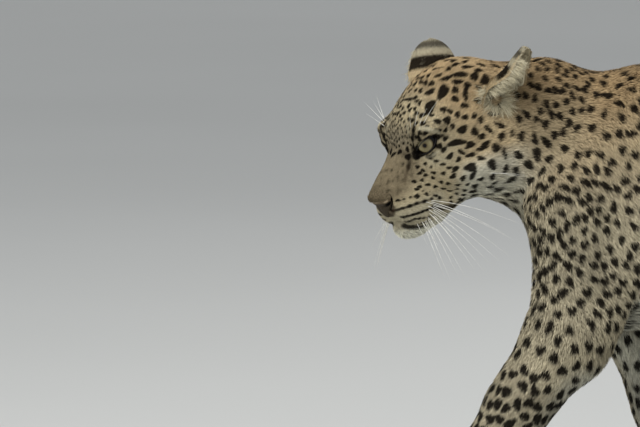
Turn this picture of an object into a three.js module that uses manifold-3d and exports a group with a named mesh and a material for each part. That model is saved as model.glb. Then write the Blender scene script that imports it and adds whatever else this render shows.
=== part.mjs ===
// A life-size female leopard, walking with her head low and turned a little to her left.
// Millimetres, +Z up. She faces -X and her left side is towards -Y.
import * as THREE from "three";
import { mergeVertices } from "three/addons/utils/BufferGeometryUtils.js";
import Module from "manifold-3d";

const wasm = await Module();
wasm.setup();
const { Manifold, Mesh: SolidMesh } = wasm;

// Driving sizes
const GAP = 0.3; // air between touching nodes
const BODY_STEP = 28; // facet size on the trunk
const LIMB_STEP = 21;
const PAW_STEP = 12.5;
const TAIL_STEP = 20;
const HEAD_STEP = 10;
const MUZZLE_STEP = 6.4;
const FLATNESS = 0.07; // facets are merged where the surface bends less than this share of their size

// Head pose, in degrees, and the tip of the nose. The head's own axes run forward, up and to her left.
const HEAD_YAW = 36;
const HEAD_PITCH = 22.5;
const NOSE_TIP = new THREE.Vector3(-312, -105, 449);

const yaw = THREE.MathUtils.degToRad(HEAD_YAW);
const pitch = THREE.MathUtils.degToRad(HEAD_PITCH);
const FORWARD = new THREE.Vector3(
  -Math.cos(pitch) * Math.cos(yaw),
  -Math.cos(pitch) * Math.sin(yaw),
  -Math.sin(pitch),
);
const LEFT = new THREE.Vector3(Math.sin(yaw), -Math.cos(yaw), 0);
const UP = new THREE.Vector3().crossVectors(FORWARD, LEFT);

// A direction on the head, and a place on it: how far behind the nose tip, above it, and to the left.
function headWay(behind, above, left) {
  return new THREE.Vector3()
    .addScaledVector(FORWARD, -behind)
    .addScaledVector(UP, above)
    .addScaledVector(LEFT, left);
}
const onHead = (behind, above, left) => headWay(behind, above, left).add(NOSE_TIP);

const v = (x, y, z) => new THREE.Vector3(x, y, z);
const mix = (a, b, t) => a.clone().lerp(b, t);
const shifted = (p, x, y, z) => v(p.x + x, p.y + y, p.z + z);

// Fields: each gives the distance from a place to a form's surface, below zero inside it.

// A limb or muscle: two balls and the cone between them, squeezed sideways by flat.
function muscle(a, b, ra, rb, flat = 1) {
  const [dx, dy, dz] = [b.x - a.x, (b.y - a.y) / flat, b.z - a.z];
  const length2 = dx * dx + dy * dy + dz * dz;
  return (x, y, z) => {
    const [px, py, pz] = [x - a.x, (y - a.y) / flat, z - a.z];
    const t = Math.min(1, Math.max(0, (px * dx + py * dy + pz * dz) / length2));
    const away = Math.hypot(px - t * dx, py - t * dy, pz - t * dz);
    return (away - ra - t * (rb - ra)) * Math.min(1, flat);
  };
}

// An egg: a ball stretched to three radii along the axes.
function egg(centre, radii) {
  return (x, y, z) => {
    const [a, b, c] = [(x - centre.x) / radii[0], (y - centre.y) / radii[1], (z - centre.z) / radii[2]];
    const k0 = Math.hypot(a, b, c);
    const k1 = Math.hypot(a / radii[0], b / radii[1], c / radii[2]);
    return k1 < 1e-9 ? -Math.min(...radii) : (k0 * (k0 - 1)) / k1;
  };
}

// Joins two distances with a fillet about blend wide.
function melt(a, b, blend) {
  const h = Math.max(blend - Math.abs(a - b), 0) / blend;
  return Math.min(a, b) - (h * h * blend) / 4;
}

function meltAll(forms, blend) {
  return (x, y, z) => forms.reduce((d, form) => melt(d, form(x, y, z), blend), 1e3);
}

// Takes b out of a with a soft edge.
const carve = (a, b, blend) => -melt(-a, b, blend);

// The trunk
const trunk = meltAll(
  [
    egg(v(112, 0, 424), [205, 100, 150]), // rib cage
    egg(v(-46, 0, 402), [80, 74, 112]), // breast
    egg(v(350, 0, 442), [225, 90, 118]), // belly
    egg(v(575, 0, 482), [112, 84, 92]), // pelvis
    muscle(v(10, 0, 538), v(250, 0, 514), 54, 50), // back
    muscle(v(250, 0, 514), v(560, 0, 524), 50, 52),
    muscle(v(560, 0, 516), v(655, 0, 498), 50, 38), // root of the tail
  ],
  48,
);

// The neck
const neck = meltAll(
  [
    muscle(onHead(163, 14, 0), v(-118, -8, 517), 72, 83, 0.84),
    muscle(v(-118, -8, 515), v(-44, 0, 486), 84, 90, 0.84),
  ],
  20,
);

// Legs: side is -1 on her left and 1 on her right. Each place is [x, outwards, z].
function leg(side, places) {
  const at = {};
  for (const [name, [x, out, z]] of Object.entries(places)) at[name] = v(x, side * out, z);
  return { side, ...at };
}

const foreLeft = leg(-1, {
  blade: [14, 50, 552],
  shoulder: [-82, 80, 430],
  elbow: [-86, 88, 290],
  wrist: [-197, 76, 134],
  knuckle: [-226, 74, 48],
  paw: [-250, 74, 0],
});
const foreRight = leg(1, {
  blade: [30, 50, 556],
  shoulder: [-70, 80, 424],
  elbow: [14, 86, 284],
  wrist: [38, 68, 112],
  knuckle: [14, 66, 46],
  paw: [-10, 66, 0],
});
const hindLeft = leg(-1, {
  hip: [590, 60, 486],
  knee: [518, 88, 306],
  hock: [640, 72, 156],
  knuckle: [592, 70, 46],
  paw: [566, 70, 0],
});
const hindRight = leg(1, {
  hip: [590, 60, 486],
  knee: [582, 88, 292],
  hock: [742, 72, 178],
  knuckle: [704, 68, 50],
  paw: [676, 68, 0],
});

function shoulderForm(l) {
  const out = l.side;
  return meltAll(
    [
      muscle(l.blade, l.shoulder, 34, 44, 0.72),
      muscle(l.shoulder, l.elbow, 48, 44, 0.8),
      muscle(shifted(mix(l.blade, l.shoulder, 0.45), 58, out * 6, -45), l.elbow, 48, 38, 0.66),
      muscle(l.elbow, shifted(l.elbow, 30, 0, 20), 32, 22), // point of the elbow
    ],
    28,
  );
}

function forearmForm(l) {
  return meltAll(
    [
      muscle(l.elbow, l.wrist, 40, 28, 0.92),
      muscle(shifted(l.elbow, -4, 0, -10), mix(l.elbow, l.wrist, 0.5), 44, 34, 0.92),
      muscle(l.wrist, shifted(l.wrist, 14, 0, -12), 24, 17), // wrist pad
      muscle(l.wrist, l.knuckle, 28, 30, 1.1),
    ],
    20,
  );
}

function thighForm(l) {
  const out = l.side;
  return meltAll(
    [
      muscle(l.hip, l.knee, 80, 48, 0.66),
      muscle(shifted(l.hip, 48, out * -4, -24), mix(l.knee, l.hock, 0.3), 56, 33, 0.66),
      egg(shifted(l.knee, -6, 0, 2), [38, 32, 42]),
    ],
    34,
  );
}

function shankForm(l) {
  const heel = shifted(l.hock, 18, 0, 16);
  return meltAll(
    [
      muscle(l.knee, l.hock, 43, 26, 0.88),
      muscle(mix(l.knee, l.hock, 0.3), heel, 37, 16, 0.82), // calf and its tendon
      muscle(l.hock, heel, 26, 19),
      muscle(l.hock, l.knuckle, 26, 28, 1.04),
    ],
    18,
  );
}

// A paw with four toes, heading along -X. Its underside dips under the ground and is cut flat there.
const TOES = 4;
const TOE_PITCH = 19.5;
function pawForm(l, scale) {
  const palm = meltAll(
    [
      egg(v(l.paw.x + 8, l.paw.y, 29 * scale), [42 * scale, 37 * scale, 28 * scale]),
      egg(v(l.paw.x + 24 * scale, l.paw.y, 14 * scale), [26 * scale, 31 * scale, 16 * scale]),
    ],
    16,
  );
  const toes = [];
  for (let i = 0; i < TOES; i++) {
    const across = i - (TOES - 1) / 2;
    const ahead = 35 - 5.5 * across * across;
    const centre = v(l.paw.x - ahead * scale, l.paw.y + across * TOE_PITCH * scale, 15 * scale);
    toes.push(egg(centre, [26 * scale, 11.8 * scale, 17 * scale]));
  }
  return (x, y, z) => toes.reduce((d, toe) => melt(d, toe(x, y, z), 7), palm(x, y, z));
}

const FORE_PAW = 1.08;
const HIND_PAW = 0.98;

// The tail: a hanging curve that lifts at the end.
const TAIL_LINE = new THREE.CatmullRomCurve3([
  v(640, 0, 508),
  v(705, 2, 474),
  v(768, 8, 404),
  v(832, 14, 330),
  v(905, 18, 276),
  v(992, 18, 262),
  v(1074, 10, 300),
  v(1122, 0, 372),
  v(1136, -8, 425),
]);
const TAIL_LINKS = 24;
const tailRadius = (t) => 35 - 12 * Math.min(1, t * 2.2) + 1.5 * Math.sin(t * 9);
const tailLinks = [];
for (let i = 0; i < TAIL_LINKS; i++) {
  const [t0, t1] = [i / TAIL_LINKS, (i + 1) / TAIL_LINKS];
  const [p0, p1] = [TAIL_LINE.getPointAt(t0), TAIL_LINE.getPointAt(t1)];
  tailLinks.push(muscle(p0, p1, tailRadius(t0), tailRadius(t1)));
}
const tail = meltAll(tailLinks, 6);

// The head, from forms given in its own axes on the left half and mirrored.
const EYE_RADIUS = 14.5;
const EYE = [77, 38, 30.5]; // behind, above, left
const skull = meltAll(
  [
    egg(v(148, 40, 0), [62, 62, 57]), // braincase
    egg(v(107, 46, 0), [46, 38, 46]), // forehead
    muscle(v(92, 26, 0), v(24, -2, 0), 29, 17), // bridge of the nose
    muscle(v(98, 0, 0), v(44, -15, 0), 44, 26), // muzzle
    egg(v(120, 0, 42), [52, 40, 32]), // cheek
    egg(v(148, -12, 40), [40, 38, 36]), // jaw muscle and ruff
    egg(v(170, 8, 0), [48, 60, 62]), // nape
  ],
  24,
);
const face = meltAll(
  [
    egg(v(84, 53, 31), [21, 11, 20]), // brow
    egg(v(EYE[0], EYE[1], EYE[2]), [15, 15, 15]), // lids
    egg(v(52, -27, 20), [33, 26, 19]), // whisker pad and upper lip
    egg(v(27, -13, 0), [14, 17, 16]), // seat of the nose
    muscle(v(62, -41, 20), v(106, -24, 34), 14, 20), // lower lip and jaw
    egg(v(45, -49, 0), [25, 16, 20]), // chin
  ],
  11,
);
const temple = egg(v(104, 22, 70), [30, 18, 12]);

function headField(x, y, z) {
  const [dx, dy, dz] = [x - NOSE_TIP.x, y - NOSE_TIP.y, z - NOSE_TIP.z];
  const behind = -(dx * FORWARD.x + dy * FORWARD.y + dz * FORWARD.z);
  const above = dx * UP.x + dy * UP.y + dz * UP.z;
  const left = Math.abs(dx * LEFT.x + dy * LEFT.y + dz * LEFT.z);
  const d = melt(skull(behind, above, left), face(behind, above, left), 11);
  return carve(d, temple(behind, above, left), 18);
}

const forelegs = [foreLeft, foreRight];
const hindlegs = [hindLeft, hindRight];
const shoulders = forelegs.map(shoulderForm);
const forearms = forelegs.map(forearmForm);
const thighs = hindlegs.map(thighForm);
const shanks = hindlegs.map(shankForm);
const paws = [
  ...forelegs.map((l) => pawForm(l, FORE_PAW)),
  ...hindlegs.map((l) => pawForm(l, HIND_PAW)),
];

function bodyField(x, y, z) {
  let d = melt(trunk(x, y, z), neck(x, y, z), 50);
  for (const form of shoulders) d = melt(d, form(x, y, z), 30);
  for (const form of thighs) d = melt(d, form(x, y, z), 36);
  for (const form of forearms) d = melt(d, form(x, y, z), 18);
  for (const form of shanks) d = melt(d, form(x, y, z), 18);
  for (const form of paws) d = melt(d, form(x, y, z), 14);
  d = melt(d, tail(x, y, z), 28);
  return melt(d, headField(x, y, z), 28);
}

// The surface of a field inside a box, as a closed mesh of facets about step across.
function surfaceOf(field, low, high, step) {
  const n = ["x", "y", "z"].map((a) => Math.ceil((high[a] - low[a]) / step) + 1);
  const at = (i, j, k) => (k * n[1] + j) * n[0] + i;
  const value = new Float64Array(n[0] * n[1] * n[2]);
  for (let k = 0; k < n[2]; k++)
    for (let j = 0; j < n[1]; j++)
      for (let i = 0; i < n[0]; i++) {
        const edge = Math.min(i, j, k, n[0] - 1 - i, n[1] - 1 - j, n[2] - 1 - k) === 0;
        const d = field(low.x + i * step, low.y + j * step, low.z + k * step);
        value[at(i, j, k)] = edge ? Math.max(d, step / 2) : d || 1e-6;
      }
  const corners = [];
  for (let c = 0; c < 8; c++) corners.push([c & 1, (c >> 1) & 1, c >> 2]);
  fillDiagonals(value, n, at, corners);
  const vertexOf = new Map();
  const positions = [];
  for (let k = 0; k < n[2] - 1; k++)
    for (let j = 0; j < n[1] - 1; j++)
      for (let i = 0; i < n[0] - 1; i++) {
        const found = corners.map(([a, b, c]) => value[at(i + a, j + b, k + c)]);
        const inside = found.filter((d) => d < 0).length;
        if (inside === 0 || inside === 8) continue;
        const sum = [0, 0, 0];
        let crossings = 0;
        for (let a = 0; a < 8; a++)
          for (const bit of [1, 2, 4]) {
            const b = a | bit;
            if (b === a || found[a] < 0 === found[b] < 0) continue;
            const t = found[a] / (found[a] - found[b]);
            for (let m = 0; m < 3; m++) sum[m] += corners[a][m] + t * (corners[b][m] - corners[a][m]);
            crossings++;
          }
        const p = [
          low.x + (i + sum[0] / crossings) * step,
          low.y + (j + sum[1] / crossings) * step,
          low.z + (k + sum[2] / crossings) * step,
        ];
        settle(field, p, step);
        vertexOf.set(at(i, j, k), positions.length / 3);
        positions.push(...p);
      }
  const triangles = [];
  const strides = [1, n[0], n[0] * n[1]];
  for (let k = 0; k < n[2] - 1; k++)
    for (let j = 0; j < n[1] - 1; j++)
      for (let i = 0; i < n[0] - 1; i++)
        for (let axis = 0; axis < 3; axis++) {
          const here = at(i, j, k);
          const [d0, d1] = [value[here], value[here + strides[axis]]];
          if (d0 < 0 === d1 < 0) continue;
          const [s, t] = [strides[(axis + 1) % 3], strides[(axis + 2) % 3]];
          const ring = [here - s - t, here - t, here, here - s].map((c) => vertexOf.get(c));
          if (d0 > 0) ring.reverse();
          triangles.push(...splitQuad(ring, positions));
        }
  return new THREE.BufferGeometry()
    .setAttribute("position", new THREE.Float32BufferAttribute(positions, 3))
    .setIndex(triangles);
}

// Fills single corners until no two inside corners meet only across a diagonal, so the surface is one sheet.
const CUBE_FACES = [
  [0, 1, 3, 2],
  [4, 5, 7, 6],
  [0, 1, 5, 4],
  [2, 3, 7, 6],
  [0, 2, 6, 4],
  [1, 3, 7, 5],
];
function fillDiagonals(value, n, at, corners) {
  let filled = true;
  while (filled) {
    filled = false;
    for (let k = 0; k < n[2] - 1; k++)
      for (let j = 0; j < n[1] - 1; j++)
        for (let i = 0; i < n[0] - 1; i++) {
          const places = corners.map(([a, b, c]) => at(i + a, j + b, k + c));
          const inside = places.map((p) => value[p] < 0);
          const count = inside.filter(Boolean).length;
          if (count === 0 || count === 8) continue;
          let outer = CUBE_FACES.filter(([a, b, c, d]) => {
            return inside[a] === inside[c] && inside[b] === inside[d] && inside[a] !== inside[b];
          }).flat();
          const odd = [0, 1, 2, 3].some((c) => inside[c] === inside[7 - c] && inside[c] === (count === 2));
          if ((count === 2 || count === 6) && odd) outer = [0, 1, 2, 3, 4, 5, 6, 7];
          outer = outer.filter((c) => !inside[c]);
          if (outer.length === 0) continue;
          const nearest = outer.reduce((a, b) => (value[places[b]] < value[places[a]] ? b : a));
          value[places[nearest]] = -1e-3;
          filled = true;
        }
  }
}

// Moves a place onto the field's surface, by no more than half a step.
function settle(field, p, step) {
  const start = [...p];
  const e = 0.5;
  for (let turn = 0; turn < 3; turn++) {
    const d = field(...p);
    const g = [
      (field(p[0] + e, p[1], p[2]) - field(p[0] - e, p[1], p[2])) / (2 * e),
      (field(p[0], p[1] + e, p[2]) - field(p[0], p[1] - e, p[2])) / (2 * e),
      (field(p[0], p[1], p[2] + e) - field(p[0], p[1], p[2] - e)) / (2 * e),
    ];
    const steep = Math.max(g[0] * g[0] + g[1] * g[1] + g[2] * g[2], 0.05);
    for (let m = 0; m < 3; m++) p[m] -= (d * g[m]) / steep;
  }
  const reach = Math.hypot(p[0] - start[0], p[1] - start[1], p[2] - start[2]);
  if (reach > step / 2) for (let m = 0; m < 3; m++) p[m] = start[m] + ((p[m] - start[m]) * step) / 2 / reach;
}

// Two triangles for a ring of four vertices, cut along its shorter diagonal.
function splitQuad([a, b, c, d], positions) {
  const apart = (i, j) =>
    Math.hypot(
      positions[3 * i] - positions[3 * j],
      positions[3 * i + 1] - positions[3 * j + 1],
      positions[3 * i + 2] - positions[3 * j + 2],
    );
  return apart(a, c) < apart(b, d) ? [a, b, c, a, c, d] : [a, b, d, b, c, d];
}

// A closed geometry as a solid that can be joined and cut.
function solid(geometry) {
  const bare = geometry.clone();
  bare.deleteAttribute("normal");
  bare.deleteAttribute("uv");
  const merged = mergeVertices(bare, 1e-3);
  const triVerts = new Uint32Array(merged.index.array);
  const mesh = { numProp: 3, vertProperties: merged.attributes.position.array, triVerts };
  const made = new Manifold(new SolidMesh(mesh));
  if (made.volume() > 0) return made;
  for (let i = 0; i < triVerts.length; i += 3) triVerts.subarray(i, i + 2).reverse();
  return new Manifold(new SolidMesh(mesh));
}

// A solid's largest closed piece.
function largest(whole) {
  return whole.decompose().reduce((a, b) => (b.volume() > a.volume() ? b : a));
}

function geometryOf(whole) {
  const m = whole.getMesh();
  return new THREE.BufferGeometry()
    .setAttribute("position", new THREE.BufferAttribute(m.vertProperties, 3))
    .setIndex(new THREE.BufferAttribute(m.triVerts, 1));
}

// All space on the side of a plane that its normal points to.
const FAR = 3000;
function beyond(point, normal, back = 0) {
  const n = normal.clone().normalize();
  const box = new THREE.BoxGeometry(FAR, FAR, FAR);
  const turn = new THREE.Quaternion().setFromUnitVectors(v(0, 0, 1), n);
  const centre = point.clone().addScaledVector(n, FAR / 2 + back);
  box.applyMatrix4(new THREE.Matrix4().compose(centre, turn, v(1, 1, 1)));
  return solid(box);
}

// A box between two heights, x places and distances out on one side, grown all round by grow.
function sideBox(side, [x0, x1], [y0, y1], [z0, z1], grow) {
  const size = v(x1 - x0 + 2 * grow, y1 - y0 + 2 * grow, z1 - z0 + 2 * grow);
  const box = new THREE.BoxGeometry(size.x, size.y, size.z);
  box.translate((x0 + x1) / 2, (side * (y0 + y1)) / 2, (z0 + z1) / 2);
  return solid(box);
}

// Planes that part the body, each with a point and the way towards the tail or the ground
const NECK_CUT = [onHead(182, 10, 0), headWay(0.952, -0.306, 0)];
const CHEST_CUT = [v(-60, 0, 600), v(0.923, 0, -0.385)];
const BELLY_CUT = [v(235, 0, 430), v(1, 0, 0)];
const RUMP_CUT = [v(462, 0, 450), v(1, 0, 0)];
const ROOT_CUT = [v(664, 0, 492), v(0.8, 0, -0.6)];
const UNDER_TAIL = [v(676, 0, 443), v(0.68, 0, 0.733)];
const HEAD_FLOOR = [onHead(120, -80, 0), headWay(0, 1, 0)];
const HEAD_SIDE = [onHead(120, 0, 84), headWay(0, 0, -1)];
const away = (way) => way.clone().negate();

// The space of the head, with its planes drawn back by back.
const headZone = (back) =>
  beyond(NECK_CUT[0], away(NECK_CUT[1]), back)
    .intersect(beyond(...HEAD_FLOOR, back))
    .intersect(beyond(...HEAD_SIDE, back));

// The space that belongs to a leg: its outer side up to the body, and all of it under the belly.
function forelegZone(l, grow) {
  const reach = [l.elbow.x - 260, l.elbow.x + 118];
  const outer = sideBox(l.side, reach, [46, 240], [-40, 452], grow);
  const zone = outer.add(sideBox(l.side, reach, [4, 240], [-40, 268], grow));
  return zone.intersect(beyond(...CHEST_CUT, GAP / 2)).subtract(headZone(-GAP / 2));
}

function hindlegZone(l, grow) {
  const outer = sideBox(l.side, [462, 708], [40, 240], [-40, 452], grow);
  return outer.add(sideBox(l.side, [462, 800], [4, 240], [-40, 326], grow));
}

const meshOf = (low, high, step) =>
  solid(surfaceOf(bodyField, low, high, step)).simplify(step * FLATNESS);
const between = (whole, a, wayA, b, wayB) =>
  whole.intersect(beyond(a, wayA, GAP / 2)).intersect(beyond(b, wayB, GAP / 2));

const parts = {};

const neckBlock = meshOf(v(-300, -170, 360), v(30, 170, 680), LIMB_STEP);
const frontBlock = neckBlock.intersect(beyond(CHEST_CUT[0], away(CHEST_CUT[1]), GAP / 2));
parts.neck = frontBlock.subtract(headZone(-GAP / 2));

let torso = meshOf(v(-180, -180, 230), v(760, 180, 680), BODY_STEP);
for (const l of forelegs) torso = torso.subtract(forelegZone(l, GAP));
for (const l of hindlegs) torso = torso.subtract(hindlegZone(l, GAP));
parts.chest = between(torso, ...CHEST_CUT, BELLY_CUT[0], away(BELLY_CUT[1]));
parts.belly = between(torso, ...BELLY_CUT, RUMP_CUT[0], away(RUMP_CUT[1]));
const tailZone = (back) => beyond(...ROOT_CUT, back).intersect(beyond(...UNDER_TAIL, back));
parts.rump = torso.intersect(beyond(...RUMP_CUT, GAP / 2)).subtract(tailZone(-GAP / 2));

// Legs, each cut across at the elbow or knee and just above the toes
const GROUND = [v(0, 0, -GAP / 2), v(0, 0, 1)];
const PAW_TOP = 64;
function legParts(name, l, joint, end, block, zone) {
  const way = end.clone().sub(joint).normalize();
  const ankle = v(0, 0, PAW_TOP);
  const down = v(0, 0, -1);
  const mine = block.intersect(zone);
  const paw = meshOf(
    v(l.paw.x - 95, l.paw.y - 60, -30),
    v(l.paw.x + 95, l.paw.y + 60, PAW_TOP + 20),
    PAW_STEP,
  );
  parts[name + "_upper"] = mine.intersect(beyond(joint, away(way), GAP / 2));
  parts[name + "_lower"] = between(mine, joint, way, ankle, away(down));
  parts[name + "_paw"] = between(paw, ankle, down, ...GROUND);
}

for (const [i, side] of ["left", "right"].entries()) {
  const fore = forelegs[i];
  const foreBlock = meshOf(
    v(fore.elbow.x - 190, Math.min(0, fore.side * 180), 30),
    v(fore.elbow.x + 140, Math.max(0, fore.side * 180), 500),
    LIMB_STEP,
  );
  const elbowCut = mix(fore.elbow, fore.wrist, 0.08);
  legParts("foreleg_" + side, fore, elbowCut, fore.wrist, foreBlock, forelegZone(fore, 0));
  const hind = hindlegs[i];
  const hindBlock = meshOf(
    v(440, Math.min(0, hind.side * 180), 30),
    v(840, Math.max(0, hind.side * 180), 510),
    LIMB_STEP,
  );
  legParts("hindleg_" + side, hind, hind.knee, hind.hock, hindBlock, hindlegZone(hind, 0));
}

// The tail in four lengths
const TAIL_CUTS = [0.28, 0.52, 0.76];
const tailBlock = meshOf(v(620, -80, 200), v(1210, 80, 560), TAIL_STEP);
const tailPlanes = TAIL_CUTS.map((t) => [TAIL_LINE.getPointAt(t), TAIL_LINE.getTangentAt(t)]);
let tailWhole = tailBlock.intersect(tailZone(GAP / 2));
for (const l of hindlegs) tailWhole = tailWhole.subtract(hindlegZone(l, GAP));
for (let i = 0; i <= tailPlanes.length; i++) {
  let length = tailWhole;
  if (i > 0) length = length.intersect(beyond(...tailPlanes[i - 1], GAP / 2));
  if (i < tailPlanes.length) {
    const [point, way] = tailPlanes[i];
    length = length.intersect(beyond(point, away(way), GAP / 2));
  }
  parts["tail_" + (i + 1)] = length;
}

// Turns a geometry made in head axes (x behind, y above, z left) into place on the head.
const HEAD_FRAME = new THREE.Matrix4()
  .makeBasis(headWay(1, 0, 0), headWay(0, 1, 0), headWay(0, 0, 1))
  .setPosition(NOSE_TIP);
function placed(geometry, side = 1) {
  const turned = geometry.clone().applyMatrix4(new THREE.Matrix4().makeScale(1, 1, side));
  return solid(turned.applyMatrix4(HEAD_FRAME));
}

// Eyes and lids
const GAZE = v(-0.7, 0.1, 0.7).normalize();
const LID_LINE = v(0.68, 0.25, 0.69);
LID_LINE.addScaledVector(GAZE, -LID_LINE.dot(GAZE)).normalize();
const LID_UP = new THREE.Vector3().crossVectors(LID_LINE, GAZE).normalize();
if (LID_UP.y < 0) LID_UP.negate();
const EYE_CENTRE = v(...EYE);
const LID_DEPTH = 3;
const EYE_FACETS = 16;

function eyeball(radius, detail) {
  const ball = new THREE.SphereGeometry(radius, detail, detail / 2);
  ball.translate(EYE_CENTRE.x, EYE_CENTRE.y, EYE_CENTRE.z);
  return ball;
}

// The opening between the lids, as an almond-shaped bar along the gaze.
function lidOpening() {
  const almond = new THREE.Shape();
  almond.moveTo(-16.5, -5);
  almond.bezierCurveTo(-9, 5, 4, 10, 14.5, 2.5);
  almond.bezierCurveTo(12, -11, -5, -13, -16.5, -5);
  const bar = new THREE.ExtrudeGeometry(almond, { depth: 40, bevelEnabled: false, curveSegments: 6 });
  const place = new THREE.Matrix4().makeBasis(LID_LINE, LID_UP, GAZE);
  return bar.applyMatrix4(place.setPosition(EYE_CENTRE.clone().addScaledVector(GAZE, 5)));
}

// The mouth: a thin slot that follows the lips from corner to corner.
const LIP_LINE = [
  v(92, -40, 43),
  v(84, -43, 41),
  v(68, -51, 37),
  v(52, -55, 32),
  v(38, -51, 25),
  v(26, -45, 15),
  v(19, -41, 6),
];
const SLOT = 1.8;
function mouthSlot() {
  const right = LIP_LINE.map((p) => v(p.x, p.y, -p.z)).reverse();
  const line = new THREE.CatmullRomCurve3([...LIP_LINE, ...right]);
  const stations = 30;
  const points = [];
  for (let i = 0; i <= stations; i++) {
    const p = line.getPointAt(i / stations);
    const inward = v(78, -34, 0).sub(p).normalize();
    const outer = p.clone().addScaledVector(inward, -14);
    const inner = p.clone().addScaledVector(inward, 8);
    for (const [q, lift] of [[outer, -1], [inner, -1], [inner, 1], [outer, 1]])
      points.push(q.x, q.y + (lift * SLOT) / 2, q.z);
  }
  const faces = [];
  for (let i = 0; i < stations; i++)
    for (let c = 0; c < 4; c++) {
      const [a, b] = [4 * i + c, 4 * i + ((c + 1) % 4)];
      faces.push(a, b, b + 4, a, b + 4, a + 4);
    }
  const e = 4 * stations;
  faces.push(0, 2, 1, 0, 3, 2, e, e + 1, e + 2, e, e + 2, e + 3);
  return new THREE.BufferGeometry()
    .setAttribute("position", new THREE.Float32BufferAttribute(points, 3))
    .setIndex(faces);
}

// The nose pad: broad across the top, wrapped back at the wings, and narrowed down to the cleft of the lip.
const NOSE_WIDTH = 18.5;
const NOSE_DEPTH = 15;
function nosePad(grow) {
  const pad = new THREE.SphereGeometry(1, 20, 14);
  const place = pad.attributes.position;
  for (let i = 0; i < place.count; i++) {
    const [ahead, up, out] = [place.getX(i), place.getY(i), place.getZ(i)];
    const narrow = 1 - 0.78 * Math.max(0, -up) ** 1.3;
    const tall = up > 0 ? 11 : 23;
    place.setXYZ(
      i,
      15 - ahead * (NOSE_DEPTH + grow) + 12 * Math.max(0, -up) + 5 * Math.max(0, up),
      -8 + up * (tall + grow),
      out * (NOSE_WIDTH * narrow + grow),
    );
  }
  return pad;
}

function nostril() {
  const hollow = new THREE.SphereGeometry(1, 10, 6);
  hollow.scale(8, 3.2, 4.2);
  hollow.rotateY(THREE.MathUtils.degToRad(-38));
  hollow.rotateX(THREE.MathUtils.degToRad(-24));
  hollow.translate(8, -13, 11);
  return hollow;
}

// An ear: a cupped shell that narrows to a round tip. Its foot is turned outward to show the cup's inside.
const EAR_BASE = v(166, 50, 51);
const EAR_TIP = v(204, 106, 82);
const EAR_OPEN = v(0.42, -0.32, 0.85);
const EAR_HALF_WIDTH = 29;
const EAR_WAIST = 0.62;
const EAR_CUP = 21;
const EAR_SKIN = 3.6;
const EAR_TWIST = THREE.MathUtils.degToRad(35);
function earShell() {
  const length = EAR_TIP.distanceTo(EAR_BASE);
  const up = EAR_TIP.clone().sub(EAR_BASE).normalize();
  const open = EAR_OPEN.clone().addScaledVector(up, -EAR_OPEN.dot(up)).normalize();
  const across = new THREE.Vector3().crossVectors(up, open).normalize();
  const rows = 8;
  const columns = 10;
  const points = [];
  for (let i = 0; i <= rows; i++) {
    const t = -0.3 + (1.3 * i) / rows;
    const taper = Math.sqrt(Math.max(0, 1 - Math.max(0, t) ** 3.4));
    const flare = EAR_WAIST + (1 - EAR_WAIST) * THREE.MathUtils.smoothstep(t, -0.2, 0.5);
    const wide = Math.max(EAR_SKIN + 1.5, EAR_HALF_WIDTH * flare * taper);
    const deep = Math.max(EAR_SKIN + 1, EAR_CUP * flare * (1 - 0.7 * Math.max(0, t)));
    const twist = EAR_TWIST * (1 - THREE.MathUtils.smoothstep(t, 0.1, 0.65));
    const facing = open.clone().applyAxisAngle(up, -twist);
    const aside = across.clone().applyAxisAngle(up, -twist);
    for (const skin of [0, EAR_SKIN])
      for (let c = 0; c <= columns; c++) {
        const turn = Math.PI * (c / columns - 0.5);
        const p = EAR_BASE.clone()
          .addScaledVector(up, length * t - (skin && i === rows ? EAR_SKIN : 0) * 0.4)
          .addScaledVector(aside, (wide - skin) * Math.sin(turn))
          .addScaledVector(facing, -(deep - skin) * Math.cos(turn) + EAR_CUP * 0.6);
        points.push(p.x, p.y, p.z);
      }
  }
  const ring = 2 * (columns + 1);
  const loop = [];
  for (let c = 0; c <= columns; c++) loop.push(c);
  for (let c = columns; c >= 0; c--) loop.push(columns + 1 + c);
  const faces = [];
  for (let i = 0; i < rows; i++)
    for (let c = 0; c < loop.length; c++) {
      const [a, b] = [i * ring + loop[c], i * ring + loop[(c + 1) % loop.length]];
      faces.push(a, b + ring, b, a, a + ring, b + ring);
    }
  const last = rows * ring;
  const inner = columns + 1;
  for (let c = 0; c < columns; c++) {
    faces.push(c, inner + c + 1, inner + c, c, c + 1, inner + c + 1);
    faces.push(last + c, last + inner + c + 1, last + c + 1);
    faces.push(last + c, last + inner + c, last + inner + c + 1);
  }
  return new THREE.BufferGeometry()
    .setAttribute("position", new THREE.Float32BufferAttribute(points, 3))
    .setIndex(faces);
}

const MUZZLE_CUT = [onHead(56, 0, 0), headWay(-1, 0, 0)];
const headBlock = meshOf(v(-330, -220, 370), v(-60, 120, 660), HEAD_STEP);
const muzzleBlock = meshOf(v(-350, -180, 360), v(-190, 0, 540), MUZZLE_STEP);
const slot = placed(mouthSlot());
let head = headBlock
  .intersect(headZone(GAP / 2))
  .intersect(beyond(MUZZLE_CUT[0], away(MUZZLE_CUT[1]), GAP / 2))
  .subtract(slot);
const muzzle = muzzleBlock.intersect(beyond(MUZZLE_CUT[0], MUZZLE_CUT[1], GAP / 2)).subtract(slot);
parts.muzzle = muzzle.subtract(placed(nosePad(GAP)));
parts.nose = placed(nosePad(0)).subtract(placed(nostril(), 1)).subtract(placed(nostril(), -1));
for (const [name, side] of [["left", 1], ["right", -1]]) {
  head = head.add(placed(eyeball(EYE_RADIUS + LID_DEPTH, EYE_FACETS), side));
  head = head.subtract(placed(lidOpening(), side));
  head = head.subtract(placed(eyeball(EYE_RADIUS + GAP, EYE_FACETS), side));
  parts["eye_" + name] = placed(eyeball(EYE_RADIUS, EYE_FACETS), side);
}
parts.head = head;

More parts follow.
